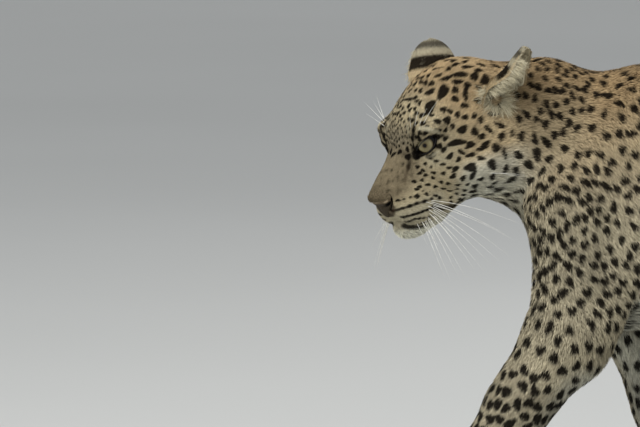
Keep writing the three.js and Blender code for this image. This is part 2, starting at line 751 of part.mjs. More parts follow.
// Each ear stands on the head and neck, a gap clear of them.
for (const [name, side] of [["left", 1], ["right", -1]]) {
  const lift = headWay(0, GAP, side * GAP);
  parts["ear_" + name] = placed(earShell(), side)
    .subtract(head)
    .subtract(head.translate(...lift))
    .subtract(parts.neck)
    .subtract(parts.neck.translate(...lift));
}

// Colours and finish of each kind of part
function coatMaterial() {
  return new THREE.MeshStandardMaterial({ color: 0xb5946a, roughness: 0.9, metalness: 0 });
}
function paleCoatMaterial() {
  return new THREE.MeshStandardMaterial({ color: 0xd3c6ac, roughness: 0.9, metalness: 0 });
}
function noseMaterial() {
  return new THREE.MeshStandardMaterial({ color: 0x5b4038, roughness: 0.45, metalness: 0 });
}
function eyeMaterial() {
  return new THREE.MeshStandardMaterial({ color: 0x9a9a62, roughness: 0.08, metalness: 0 });
}

function materialOf(name) {
  if (name.startsWith("eye")) return eyeMaterial();
  if (name === "nose") return noseMaterial();
  return /paw|lower|muzzle|belly/.test(name) ? paleCoatMaterial() : coatMaterial();
}

const group = new THREE.Group();
for (const [name, piece] of Object.entries(parts)) {
  const mesh = new THREE.Mesh(geometryOf(largest(piece)), materialOf(name));
  mesh.name = name;
  group.add(mesh);
}

// The origin goes under the middle of the whole animal, at ground level.
const bounds = new THREE.Box3().setFromObject(group);
const middle = bounds.getCenter(new THREE.Vector3());
group.position.set(-middle.x, -middle.y, -bounds.min.z);
group.updateMatrixWorld(true);

export default group;
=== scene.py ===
import math

import bpy
import numpy as np
from mathutils import Matrix, Vector


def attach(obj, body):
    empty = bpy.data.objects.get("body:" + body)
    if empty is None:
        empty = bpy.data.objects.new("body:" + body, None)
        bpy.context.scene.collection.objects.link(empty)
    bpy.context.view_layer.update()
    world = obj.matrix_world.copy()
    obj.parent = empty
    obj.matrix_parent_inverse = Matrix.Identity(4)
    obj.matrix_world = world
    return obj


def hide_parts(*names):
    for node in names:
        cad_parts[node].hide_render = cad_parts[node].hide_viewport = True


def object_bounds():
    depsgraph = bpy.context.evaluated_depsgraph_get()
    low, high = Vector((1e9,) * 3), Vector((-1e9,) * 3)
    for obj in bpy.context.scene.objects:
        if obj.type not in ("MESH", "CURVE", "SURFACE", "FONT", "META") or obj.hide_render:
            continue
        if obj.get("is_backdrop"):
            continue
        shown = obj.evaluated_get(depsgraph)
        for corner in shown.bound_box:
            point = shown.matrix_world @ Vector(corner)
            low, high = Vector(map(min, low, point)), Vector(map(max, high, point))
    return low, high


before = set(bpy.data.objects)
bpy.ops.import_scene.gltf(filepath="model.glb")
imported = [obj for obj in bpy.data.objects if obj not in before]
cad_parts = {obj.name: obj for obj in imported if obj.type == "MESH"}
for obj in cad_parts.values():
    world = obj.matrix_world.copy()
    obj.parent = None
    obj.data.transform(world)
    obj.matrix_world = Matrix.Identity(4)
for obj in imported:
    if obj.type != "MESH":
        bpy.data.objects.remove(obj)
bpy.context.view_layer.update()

# Her own frame starts on the ground under the withers.
# The scene starts under the middle of the whole animal.
SHIFT = np.array([-422.3346, 1.195, 0.0])
MM_PER_METRE = 1000.0


def metres(p):
    return (np.asarray(p, float) + SHIFT) / MM_PER_METRE


def millimetres(q):
    return np.asarray(q, float) * MM_PER_METRE - SHIFT


# Her form, as in the solids. A place in head axes is how far behind, above and left of the nose's tip it is.

HEAD_YAW = math.radians(36)
HEAD_PITCH = math.radians(22.5)
NOSE_TIP = np.array([-312.0, -105.0, 449.0])
FORWARD = np.array(
    [
        -math.cos(HEAD_PITCH) * math.cos(HEAD_YAW),
        -math.cos(HEAD_PITCH) * math.sin(HEAD_YAW),
        -math.sin(HEAD_PITCH),
    ]
)
LEFT = np.array([math.sin(HEAD_YAW), -math.cos(HEAD_YAW), 0.0])
UP = np.cross(FORWARD, LEFT)
HEAD_AXES = np.array([-FORWARD, UP, LEFT])


def head_way(behind, above, left):
    return np.array([behind, above, left]) @ HEAD_AXES


def on_head(behind, above, left):
    return NOSE_TIP + head_way(behind, above, left)


def in_head(points):
    return (points - NOSE_TIP) @ HEAD_AXES.T


def mirrored(p, side):
    """A place in head axes on her left, or its mirror image on her right where side is -1."""
    return p * np.array([1, 1, side])


def turned(way, side=1):
    """Ways in head axes, turned into her own frame on one side of the head."""
    return mirrored(way, side) @ HEAD_AXES


def placed(q, side=1):
    """Places in head axes, put in her own frame on one side of the head."""
    return NOSE_TIP + turned(q, side)


def folded(q):
    """Places in head axes with her right side laid over her left."""
    return np.column_stack([q[:, :2], np.abs(q[:, 2])])


def unit(a):
    a = np.asarray(a, float)
    return a / np.maximum(np.linalg.norm(a, axis=-1, keepdims=True), 1e-9)


def muscle(a, b, ra, rb, flat=1.0):
    """A limb or muscle: two balls and the cone between them, squeezed sideways by flat."""
    a, b = np.asarray(a, float), np.asarray(b, float)
    squeeze = np.array([1, 1 / flat, 1])
    axis = (b - a) * squeeze

    def field(p):
        q = (p - a) * squeeze
        t = np.clip(q @ axis / (axis @ axis), 0, 1)
        away = np.sqrt(((q - t[:, None] * axis) ** 2).sum(1))
        return (away - ra - t * (rb - ra)) * min(1, flat)

    return field


def egg(centre, radii):
    """A ball stretched to three radii along the axes."""
    centre, radii = np.asarray(centre, float), np.asarray(radii, float)

    def field(p):
        q = (p - centre) / radii
        k0 = np.sqrt((q**2).sum(1))
        k1 = np.sqrt(((q / radii) ** 2).sum(1))
        return k0 * (k0 - 1) / np.maximum(k1, 1e-9)

    return field


def melt(a, b, blend):
    """Two forms as one, with a soft seam as wide as blend."""
    h = np.maximum(blend - np.abs(a - b), 0) / blend
    return np.minimum(a, b) - h * h * blend / 4


def carve(a, b, blend):
    """The first form with the second cut out of it."""
    return -melt(-a, b, blend)


def melt_all(forms, blend):
    def field(p):
        d = forms[0](p)
        for form in forms[1:]:
            d = melt(d, form(p), blend)
        return d

    return field


trunk = melt_all(
    [
        egg((112, 0, 424), (205, 100, 150)),
        egg((-46, 0, 402), (80, 74, 112)),
        egg((350, 0, 442), (225, 90, 118)),
        egg((575, 0, 482), (112, 84, 92)),
        muscle((10, 0, 538), (250, 0, 514), 54, 50),
        muscle((250, 0, 514), (560, 0, 524), 50, 52),
        muscle((560, 0, 516), (655, 0, 498), 50, 38),
    ],
    48,
)
neck = melt_all(
    [
        muscle(on_head(163, 14, 0), (-118, -8, 517), 72, 83, 0.84),
        muscle((-118, -8, 515), (-44, 0, 486), 84, 90, 0.84),
    ],
    20,
)


def leg(side, **places):
    at = {name: np.array([x, side * out, z], float) for name, (x, out, z) in places.items()}
    return {"side": side, **at}


FORE_LEFT = leg(
    -1,
    blade=(14, 50, 552),
    shoulder=(-82, 80, 430),
    elbow=(-86, 88, 290),
    wrist=(-197, 76, 134),
    knuckle=(-226, 74, 48),
    paw=(-250, 74, 0),
)
FORE_RIGHT = leg(
    1,
    blade=(30, 50, 556),
    shoulder=(-70, 80, 424),
    elbow=(14, 86, 284),
    wrist=(38, 68, 112),
    knuckle=(14, 66, 46),
    paw=(-10, 66, 0),
)
HIND_LEFT = leg(
    -1,
    hip=(590, 60, 486),
    knee=(518, 88, 306),
    hock=(640, 72, 156),
    knuckle=(592, 70, 46),
    paw=(566, 70, 0),
)
HIND_RIGHT = leg(
    1,
    hip=(590, 60, 486),
    knee=(582, 88, 292),
    hock=(742, 72, 178),
    knuckle=(704, 68, 50),
    paw=(676, 68, 0),
)
FORELEGS = [FORE_LEFT, FORE_RIGHT]
HINDLEGS = [HIND_LEFT, HIND_RIGHT]


def between(a, b, t):
    return a + (b - a) * t


def shoulder_form(g):
    out = g["side"]
    blade, shoulder, elbow = g["blade"], g["shoulder"], g["elbow"]
    return melt_all(
        [
            muscle(blade, shoulder, 34, 44, 0.72),
            muscle(shoulder, elbow, 48, 44, 0.8),
            muscle(between(blade, shoulder, 0.45) + (58, out * 6, -45), elbow, 48, 38, 0.66),
            muscle(elbow, elbow + (30, 0, 20), 32, 22),
        ],
        28,
    )


def forearm_form(g):
    elbow, wrist = g["elbow"], g["wrist"]
    return melt_all(
        [
            muscle(elbow, wrist, 40, 28, 0.92),
            muscle(elbow + (-4, 0, -10), between(elbow, wrist, 0.5), 44, 34, 0.92),
            muscle(wrist, wrist + (14, 0, -12), 24, 17),
            muscle(wrist, g["knuckle"], 28, 30, 1.1),
        ],
        20,
    )


def thigh_form(g):
    out = g["side"]
    hip, knee, hock = g["hip"], g["knee"], g["hock"]
    return melt_all(
        [
            muscle(hip, knee, 80, 48, 0.66),
            muscle(hip + (48, out * -4, -24), between(knee, hock, 0.3), 56, 33, 0.66),
            egg(knee + (-6, 0, 2), (38, 32, 42)),
        ],
        34,
    )


def shank_form(g):
    knee, hock = g["knee"], g["hock"]
    heel = hock + (18, 0, 16)
    return melt_all(
        [
            muscle(knee, hock, 43, 26, 0.88),
            muscle(between(knee, hock, 0.3), heel, 37, 16, 0.82),
            muscle(hock, heel, 26, 19),
            muscle(hock, g["knuckle"], 26, 28, 1.04),
        ],
        18,
    )


TOES = 4
TOE_PITCH = 19.5
FORE_PAW = 1.08
HIND_PAW = 0.98


def toe_centres(g, size):
    places = []
    for i in range(TOES):
        across = i - (TOES - 1) / 2
        ahead = 35 - 5.5 * across * across
        places.append(g["paw"] + (-ahead * size, across * TOE_PITCH * size, 15 * size))
    return places


def paw_form(g, size):
    paw = g["paw"]
    palm = melt_all(
        [
            egg((paw[0] + 8, paw[1], 29 * size), (42 * size, 37 * size, 28 * size)),
            egg((paw[0] + 24 * size, paw[1], 14 * size), (26 * size, 31 * size, 16 * size)),
        ],
        16,
    )
    toes = [egg(c, (26 * size, 11.8 * size, 17 * size)) for c in toe_centres(g, size)]

    def field(p):
        d = palm(p)
        for toe in toes:
            d = melt(d, toe(p), 7)
        return d

    return field


# The tail's line runs through these places.
TAIL_PLACES = np.array(
    [
        (640, 0, 508),
        (705, 2, 474),
        (768, 8, 404),
        (832, 14, 330),
        (905, 18, 276),
        (992, 18, 262),
        (1074, 10, 300),
        (1122, 0, 372),
        (1136, -8, 425),
    ],
    float,
)
TAIL_LINKS = 24
CURVE_STEPS = 40


def smooth_line(places, count):
    """A smooth curve through the places, as count places at even distances along it."""
    ends = [2 * places[0] - places[1], *places, 2 * places[-1] - places[-2]]
    found = []
    for i in range(len(places) - 1):
        p0, p1, p2, p3 = ends[i : i + 4]
        d0, d1, d2 = (np.linalg.norm(b - a) ** 0.5 for a, b in ((p0, p1), (p1, p2), (p2, p3)))
        m1 = ((p1 - p0) / d0 - (p2 - p0) / (d0 + d1) + (p2 - p1) / d1) * d1
        m2 = ((p2 - p1) / d1 - (p3 - p1) / (d1 + d2) + (p3 - p2) / d2) * d1
        for t in np.arange(CURVE_STEPS) / CURVE_STEPS:
            a = (1 + 2 * t) * (1 - t) ** 2 * p1 + t * (1 - t) ** 2 * m1
            found.append(a + t * t * (3 - 2 * t) * p2 + t * t * (t - 1) * m2)
    found.append(places[-1])
    found = np.array(found)
    along = np.concatenate([[0], np.cumsum(np.linalg.norm(np.diff(found, axis=0), axis=1))])
    want = np.linspace(0, along[-1], count)
    return np.array([np.interp(want, along, found[:, k]) for k in range(3)]).T


TAIL_LINE = smooth_line(TAIL_PLACES, TAIL_LINKS + 1)


def tail_radius(t):
    return 35 - 12 * np.minimum(1, t * 2.2) + 1.5 * np.sin(t * 9)


tail = melt_all(
    [
        muscle(*TAIL_LINE[i : i + 2], tail_radius(i / TAIL_LINKS), tail_radius((i + 1) / TAIL_LINKS))
        for i in range(TAIL_LINKS)
    ],
    6,
)

EYE_RADIUS = 14.5
NOSE_MIDDLE = (14, -14, 0)
EYE = np.array([77.0, 38.0, 30.5])
skull = melt_all(
    [
        egg((148, 40, 0), (62, 62, 57)),
        egg((107, 46, 0), (46, 38, 46)),
        muscle((92, 26, 0), (24, -2, 0), 29, 17),
        muscle((98, 0, 0), (44, -15, 0), 44, 26),
        egg((120, 0, 42), (52, 40, 32)),
        egg((148, -12, 40), (40, 38, 36)),
        egg((170, 8, 0), (48, 60, 62)),
    ],
    24,
)
face = melt_all(
    [
        egg((84, 53, 31), (21, 11, 20)),
        egg(EYE, (15, 15, 15)),
        egg((52, -27, 20), (33, 26, 19)),
        egg((27, -13, 0), (14, 17, 16)),
        muscle((62, -41, 20), (106, -24, 34), 14, 20),
        egg((45, -49, 0), (25, 16, 20)),
    ],
    11,
)
temple = egg((104, 22, 70), (30, 18, 12))

# The eye's gaze and the line of its lids, in head axes
GAZE = unit([-0.7, 0.1, 0.7])
LID_LINE = np.array([0.68, 0.25, 0.69])
LID_LINE = unit(LID_LINE - GAZE * (LID_LINE @ GAZE))
LID_UP = unit(np.cross(LID_LINE, GAZE))
LID_UP = LID_UP if LID_UP[1] > 0 else -LID_UP


def bezier(a, b, c, d, count):
    t = np.linspace(0, 1, count)[:, None]
    a, b, c, d = (np.asarray(p, float) for p in (a, b, c, d))
    return (1 - t) ** 3 * a + 3 * t * (1 - t) ** 2 * b + 3 * t * t * (1 - t) * c + t**3 * d


# The opening between the lids, along and above the middle of the eye
INNER_CORNER = (-16.5, -5)
OUTER_CORNER = (15.0, 3.2)
LID_TOP = bezier(INNER_CORNER, (-9, 3.5), (4, 8.2), OUTER_CORNER, 24)
LID_FOOT = bezier(INNER_CORNER, (-6, -12), (11, -10.5), OUTER_CORNER, 24)

# The line between the lips, the cleft under the nose and the fold beside it, on the left of the head
LIP_PLACES = [
    (92, -40, 43),
    (84, -43, 41),
    (68, -51, 37),
    (52, -55, 32),
    (38, -51, 25),
    (26, -45, 15),
    (19, -41, 6),
]
LIP_CURVE = np.vstack([smooth_line(np.array(LIP_PLACES, float), 30), [(16, -40, 0)]])
CLEFT = np.array([(9.0, -22, 0), (12, -32, 0), (15, -41, 0)])
NOSE_FOLD = np.array([(62.0, 24, 19), (52, 8, 25), (58, -14, 34)])


def from_line(points, line):
    """How far places are from a line of straight lengths, and how far along it the nearest is (0 to 1)."""
    best = np.full(len(points), 1e9)
    where = np.zeros(len(points))
    for i in range(len(line) - 1):
        a, way = line[i], line[i + 1] - line[i]
        t = np.clip((points - a) @ way / (way @ way), 0, 1)
        away = np.sqrt(((points - a - t[:, None] * way) ** 2).sum(1))
        closer = away < best
        best = np.where(closer, away, best)
        where = np.where(closer, (i + t) / (len(line) - 1), where)
    return best, where


def in_lids(q):
    """How far inside the opening between the lids a place in head axes is, above zero inside."""
    r = q - EYE
    x, y, ahead = r @ LID_LINE, r @ LID_UP, r @ GAZE
    top = np.interp(x, LID_TOP[:, 0], LID_TOP[:, 1])
    foot = np.interp(x, LID_FOOT[:, 0], LID_FOOT[:, 1])
    sides = np.minimum(x - INNER_CORNER[0], OUTER_CORNER[0] - x)
    return np.minimum(np.minimum(top - y, y - foot), sides), ahead


def head_field(p, fine):
    """The head's form. The fine one also has the mouth, the folds, the eyeballs and the lids."""
    q = folded(in_head(p))
    d = melt(skull(q), face(q), 11)
    d = carve(d, temple(q), 18)
    if not fine:
        return d
    lip, _ = from_line(q, LIP_CURVE)
    d = carve(d, lip - 1.2, 3)
    cleft, _ = from_line(q, CLEFT)
    d = carve(d, cleft - 0.8, 3)
    fold, _ = from_line(q, NOSE_FOLD)
    d = carve(d, fold - 1.0, 9)
    ball = np.sqrt(((q - EYE) ** 2).sum(1))
    d = melt(d, ball - EYE_RADIUS - 2.2, 2.5)
    inside, ahead = in_lids(q)
    opening = np.maximum(-inside, 5 - ahead)
    opening = np.maximum(opening, EYE_RADIUS - 1.6 - ball)
    return carve(d, opening, 1.0)


SHOULDERS = [shoulder_form(g) for g in FORELEGS]
FOREARMS = [forearm_form(g) for g in FORELEGS]
THIGHS = [thigh_form(g) for g in HINDLEGS]
SHANKS = [shank_form(g) for g in HINDLEGS]
PAWS = [paw_form(g, FORE_PAW) for g in FORELEGS] + [paw_form(g, HIND_PAW) for g in HINDLEGS]


def body_field(p, fine=True):
    d = melt(trunk(p), neck(p), 50)
    for forms, blend in ((SHOULDERS, 30), (THIGHS, 36), (FOREARMS, 18), (SHANKS, 18), (PAWS, 14)):
        for form in forms:
            d = melt(d, form(p), blend)
    d = melt(d, tail(p), 28)
    return melt(d, head_field(p, fine), 28)


def smooth_body_field(p):
    return body_field(p, False)


# Meshes and fields


def select_only(*objects):
    bpy.ops.object.select_all(action="DESELECT")
    for o in objects:
        o.select_set(True)
    bpy.context.view_layer.objects.active = objects[-1]


def apply_all(o):
    select_only(o)
    for modifier in list(o.modifiers):
        bpy.ops.object.modifier_apply(modifier=modifier.name)


def new_object(name, mesh):
    o = bpy.data.objects.new(name, mesh)
    bpy.context.scene.collection.objects.link(o)
    return o


def closed_piece(name, places, faces):
    """A smooth closed piece from places in her own frame and the faces between them, turned outwards."""
    mesh = bpy.data.meshes.new(name)
    mesh.from_pydata(metres(places).tolist(), [], faces)
    piece = new_object(name, mesh)
    select_only(piece)
    bpy.ops.object.mode_set(mode="EDIT")
    bpy.ops.mesh.select_all(action="SELECT")
    bpy.ops.mesh.normals_make_consistent(inside=False)
    bpy.ops.object.mode_set(mode="OBJECT")
    bpy.ops.object.shade_smooth()
    return piece


def belongs(piece, nodes):
    """Says what a piece rides and which solids it stands for."""
    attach(piece, "root")
    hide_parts(*nodes)


def vertices_of(mesh):
    co = np.empty(len(mesh.vertices) * 3)
    mesh.vertices.foreach_get("co", co)
    return millimetres(co.reshape(-1, 3))


def put_vertices(mesh, points):
    mesh.vertices.foreach_set("co", metres(points).ravel())
    mesh.update()


def triangles_of(mesh):
    mesh.calc_loop_triangles()
    tris = np.empty(len(mesh.loop_triangles) * 3, np.int32)
    mesh.loop_triangles.foreach_get("vertices", tris)
    return tris.reshape(-1, 3)


def edges_of(mesh):
    edges = np.empty(len(mesh.edges) * 2, np.int32)
    mesh.edges.foreach_get("vertices", edges)
    return edges.reshape(-1, 2)


def neighbour_mean(values, edges):
    count = np.bincount(edges.ravel(), minlength=len(values)).astype(float)
    total = np.empty_like(values)
    for k in range(values.shape[1]):
        a = np.bincount(edges[:, 0], values[edges[:, 1], k], len(values))
        total[:, k] = a + np.bincount(edges[:, 1], values[edges[:, 0], k], len(values))
    return total / np.maximum(count, 1)[:, None]


def slope(field, p, reach_mm=0.35):
    g = np.empty_like(p)
    for k in range(3):
        step = np.zeros(3)
        step[k] = reach_mm
        g[:, k] = (field(p + step) - field(p - step)) / (2 * reach_mm)
    return g


def smooth_step(low, high, x):
    t = np.clip((x - low) / (high - low), 0, 1)
    return t * t * (3 - 2 * t)


def waves(points, size, seed, count=14):
    """Smooth random values in space, between about -1 and 1, from a few random waves."""
    draw = np.random.default_rng(seed)
    total = np.zeros(len(points))
    for _ in range(count):
        way = unit(draw.normal(size=3)) * (2 * math.pi / size) * draw.uniform(0.6, 1.5)
        total += np.sin(points @ way + draw.uniform(0, 2 * math.pi))
    return total / math.sqrt(count / 2)


# The skin

FLESH = [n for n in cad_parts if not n.startswith(("eye", "nose", "ear"))]
SKIN_VOXEL = 0.0058
SKIN_SWELL = 0.0006
SKIN_WELD = 0.00002
TRUNK_MIDDLE = 440


def joined_flesh():
    copies = []
    for name in FLESH:
        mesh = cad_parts[name].data.copy()
        mesh.materials.clear()
        copies.append(new_object("skin", mesh))
    select_only(*copies)
    bpy.ops.object.join()
    whole = bpy.context.view_layer.objects.active
    bpy.ops.object.mode_set(mode="EDIT")
    bpy.ops.mesh.select_all(action="SELECT")
    bpy.ops.mesh.remove_doubles(threshold=SKIN_WELD)
    bpy.ops.object.mode_set(mode="OBJECT")
    swell = whole.modifiers.new("swell", "DISPLACE")
    swell.strength = SKIN_SWELL
    swell.mid_level = 0
    remesh = whole.modifiers.new("remesh", "REMESH")
    remesh.mode = "VOXEL"
    remesh.voxel_size = SKIN_VOXEL
    apply_all(whole)
    whole.name = "skin"
    return whole


def refine(o, chosen):
    mesh = o.data
    mesh.polygons.foreach_set("select", chosen)
    mesh.vertices.foreach_set("select", np.zeros(len(mesh.vertices), bool))
    mesh.edges.foreach_set("select", np.zeros(len(mesh.edges), bool))
    select_only(o)
    bpy.ops.object.mode_set(mode="EDIT")
    bpy.ops.mesh.select_mode(type="FACE")
    bpy.ops.mesh.subdivide(number_cuts=1)
    bpy.ops.object.mode_set(mode="OBJECT")


def centres_of(mesh):
    centres = np.empty(len(mesh.polygons) * 3)
    mesh.polygons.foreach_get("center", centres)
    return millimetres(centres.reshape(-1, 3))


def refine_head(skin):
    """Finer faces over the head, and finer again round the eyes and at the muzzle's front."""
    q = in_head(centres_of(skin.data))
    refine(skin, (q[:, 0] < 178) & (q[:, 1] > -75) & (np.abs(q[:, 2]) < 90))
    q = in_head(centres_of(skin.data))
    near_eye = np.sqrt(((folded(q) - EYE) ** 2).sum(1)) < 25
    near_mouth = (q[:, 0] < 60) & (q[:, 1] < -12)
    refine(skin, near_eye | near_mouth)


def trunk_side(p):
    """How far round the trunk a place is: 1 at the back, -1 under the belly."""
    rise = p[:, 2] - TRUNK_MIDDLE
    return rise / np.maximum(np.hypot(rise, p[:, 1]), 1)


def coat_depth(p):
    """How deep the skin lies under the outside of the coat."""
    q = in_head(p)
    on_face = smooth_step(150, 40, q[:, 0]) * smooth_step(130, 90, np.abs(q[:, 2]))
    low = smooth_step(120, 20, p[:, 2])
    under = smooth_step(0.2, -0.7, trunk_side(p))
    return (4.2 + 2.2 * under) * (1 - on_face) * (1 - 0.6 * low) + 1.7 * on_face


def settled(points, edges):
    """The skin's points moved to the coat's depth under her form, and evened out along it in between."""
    rounds, longest_move, lowest = 3, 4.0, 0.8
    for turn in range(rounds):
        g = slope(body_field, points)
        g2 = np.maximum((g**2).sum(1), 0.15)
        move = -((body_field(points) + coat_depth(points)) / g2)[:, None] * g
        move = move * np.minimum(1, longest_move / np.maximum(np.linalg.norm(move, axis=1), 1e-6))[:, None]
        points = points + move
        if turn < rounds - 1:
            g = unit(g)
            for _ in range(2):
                drift = neighbour_mean(points, edges) - points
                drift = drift - (drift * g).sum(1)[:, None] * g
                points = points + 0.6 * drift
    points[:, 2] = np.maximum(points[:, 2], lowest)
    return points


skin = joined_flesh()
refine_head(skin)
edges = edges_of(skin.data)
points = settled(vertices_of(skin.data), edges)
put_vertices(skin.data, points)
select_only(skin)
bpy.ops.object.shade_smooth()
normals = unit(slope(smooth_body_field, points, 1.0))
skin_tris = triangles_of(skin.data)

# How much of each part of her every point of the skin belongs to

head_q = in_head(points)
reach = {
    "head": head_field(points, False),
    "neck": neck(points),
    "trunk": trunk(points),
    "tail": tail(points),
}
for i, side in enumerate(("left", "right")):
    reach["shoulder_" + side] = SHOULDERS[i](points)
    reach["forearm_" + side] = FOREARMS[i](points)
    reach["thigh_" + side] = THIGHS[i](points)
    reach["shank_" + side] = SHANKS[i](points)
    reach["forepaw_" + side] = PAWS[i](points)
    reach["hindpaw_" + side] = PAWS[2 + i](points)
SHARE_FADE = 9.0
names = list(reach)
share = np.exp(-np.maximum(np.array([reach[n] for n in names]), -12) / SHARE_FADE)
share /= share.sum(0)
share = dict(zip(names, share))


def way_of(name):
    """The way the coat lies on one part, for every point of the skin."""
    n = len(points)

    def flat(way):
        return np.tile(np.asarray(way, float), (n, 1))

    if name == "head":
        return unit((head_q + (24, 4, 0)) @ HEAD_AXES)
    if name == "neck":
        back = unit(np.array([-80, 0, 490]) - on_head(150, 10, 0))
        droop = smooth_step(540, 380, points[:, 2])[:, None]
        return unit(flat(back) + droop * flat((0.1, 0, -0.9)))
    if name == "trunk":
        side = trunk_side(points)
        return unit(np.column_stack([np.ones(n), 0 * side, -0.25 - 0.2 * side]))
    if name == "tail":
        best = np.full(n, 1e9)
        way = np.zeros((n, 3))
        for i in range(TAIL_LINKS):
            middle = (TAIL_LINE[i] + TAIL_LINE[i + 1]) / 2
            away = ((points - middle) ** 2).sum(1)
            way = np.where((away < best)[:, None], TAIL_LINE[i + 1] - TAIL_LINE[i], way)
            best = np.minimum(best, away)
        return unit(way)
    kind, side = name.split("_")
    fore, hind = FORELEGS[side == "right"], HINDLEGS[side == "right"]
    if kind == "shoulder":
        return flat(unit((0.42, 0, -0.9)))
    if kind == "forearm":
        return flat(unit(fore["wrist"] - fore["elbow"] + (14, 0, 0)))
    if kind == "thigh":
        return flat(unit((0.5, 0, -0.86)))
    if kind == "shank":
        return flat(unit(hind["hock"] - hind["knee"]))
    return flat(unit((-0.8, 0, -0.5)))


# The way the coat lies at every point of the skin, evened out over its neighbours
FLOW_ROUNDS = 6
flow = sum(share[n][:, None] * way_of(n) for n in names)
flow = flow - (flow * normals).sum(1)[:, None] * normals
for _ in range(FLOW_ROUNDS):
    flow = unit(0.5 * unit(flow) + 0.5 * unit(neighbour_mean(flow, edges)))
    flow = flow - (flow * normals).sum(1)[:, None] * normals
flow = unit(flow)

paws_share = sum(share[n] for n in names if "paw" in n)
leg_share = sum(share[n] for n in names if n.startswith(("forearm", "shank"))) + paws_share
upper_share = sum(share[n] for n in names if n.startswith(("shoulder", "thigh")))
behind, above, leftward = head_q[:, 0], head_q[:, 1], head_q[:, 2]
aside = np.abs(leftward)
on_head_share = share["head"] * smooth_step(205, 165, behind)
inner_leg = np.zeros(len(points))
for label, side in (("left", -1), ("right", 1)):
    own = sum(share[kind + label] for kind in ("forearm_", "shank_", "thigh_", "shoulder_"))
    inner_leg += own * smooth_step(0.1, 0.75, -side * normals[:, 1])

# Colours


def colour(red, green, blue):
    c = np.array([red, green, blue]) / 255.0
    return np.where(c <= 0.04045, c / 12.92, ((c + 0.055) / 1.055) ** 2.4)


GOLD = colour(180, 150, 108)
TAN = colour(184, 164, 128)
FACE = colour(180, 166, 134)
CREAM = colour(200, 191, 163)
WHITE = colour(214, 212, 194)
BRIDGE = colour(128, 115, 91)
BLACK = colour(11, 7, 5)
DARK_BROWN = colour(50, 37, 26)
GREY = colour(120, 116, 104)
PAD_BROWN = colour(48, 38, 34)
BODY_SHADE = 0.24


def blend_colours(a, b, t):
    return a + (b - a) * t[:, None]


def base_coat():
    """Her coat without its markings: gold on the back, pale below, and the tones of the face."""
    height, facing_up = points[:, 2], normals[:, 2]
    head, body = on_head_share, 1 - on_head_share
    top = smooth_step(0.15, 0.9, facing_up) * smooth_step(380, 520, height)
    belly = smooth_step(-0.25, -0.85, facing_up) * smooth_step(140, 240, height)
    low_neck = (share["neck"] + share["head"]) * smooth_step(500, 430, height)
    low_neck = low_neck * smooth_step(0.35, -0.2, facing_up)
    under_tail = share["tail"] * smooth_step(0.1, -0.5, facing_up)
    under_tail = under_tail * smooth_step(0.1, 0.4, from_line(points, TAIL_LINE)[1])
    bridge = head * smooth_step(74, 52, behind) * smooth_step(-16, 0, above) * smooth_step(34, 20, aside)
    tone = np.tile(TAN, (len(points), 1))
    for shade, much in (
        (GOLD, 0.75 * top),
        (CREAM, 0.75 * smooth_step(560, 400, height) * body),
        (WHITE, belly * body),
        (WHITE, 0.85 * inner_leg),
        (CREAM, 0.8 * low_neck * body),
        (TAN, 0.6 * smooth_step(150, 60, height) * leg_share),
        (WHITE, under_tail),
        (TAN, head),
        (FACE, head * smooth_step(125, 85, behind)),
        (GOLD, head * 0.5 * smooth_step(30, 70, above) * smooth_step(80, 130, behind)),  # crown
        (BRIDGE, 0.9 * bridge),
        (WHITE, head * 0.8 * smooth_step(10, -12, above) * smooth_step(70, 96, behind)),  # cheek
        (CREAM * 0.8, head * 0.9 * smooth_step(-8, -26, above) * smooth_step(80, 60, behind)),  # lip
        (WHITE, head * smooth_step(-42, -52, above) * smooth_step(95, 70, behind)),  # chin
        (WHITE, head * 0.9 * smooth_step(-20, -40, above) * smooth_step(80, 110, behind)),  # throat
    ):
        tone = blend_colours(tone, shade, much)
    for centre, size, shade, much in (
        ((70, 18, 46), (20, 8, 14), CREAM, 0.6),  # under the eye
        ((58, 48, 6), (14, 16, 22), GREY, 0.35),  # between the eyes
    ):
        d = ((folded(head_q) - np.array(centre)) / np.array(size)) ** 2
        tone = blend_colours(tone, shade, head * much * np.exp(-d.sum(1)))
    mottle = 1 + 0.07 * waves(points, 60, 3) + 0.05 * waves(points, 16, 4)
    mottle = mottle - 0.3 * bridge * np.maximum(0, waves(points, 6, 5))
    brow = head * smooth_step(46, 58, behind) * smooth_step(112, 96, behind) * smooth_step(26, 36, above)
    mottle = mottle + 0.2 * brow * waves(points, 5, 6)
    return tone * (mottle * (1 - BODY_SHADE * body))[:, None]


base = base_coat()

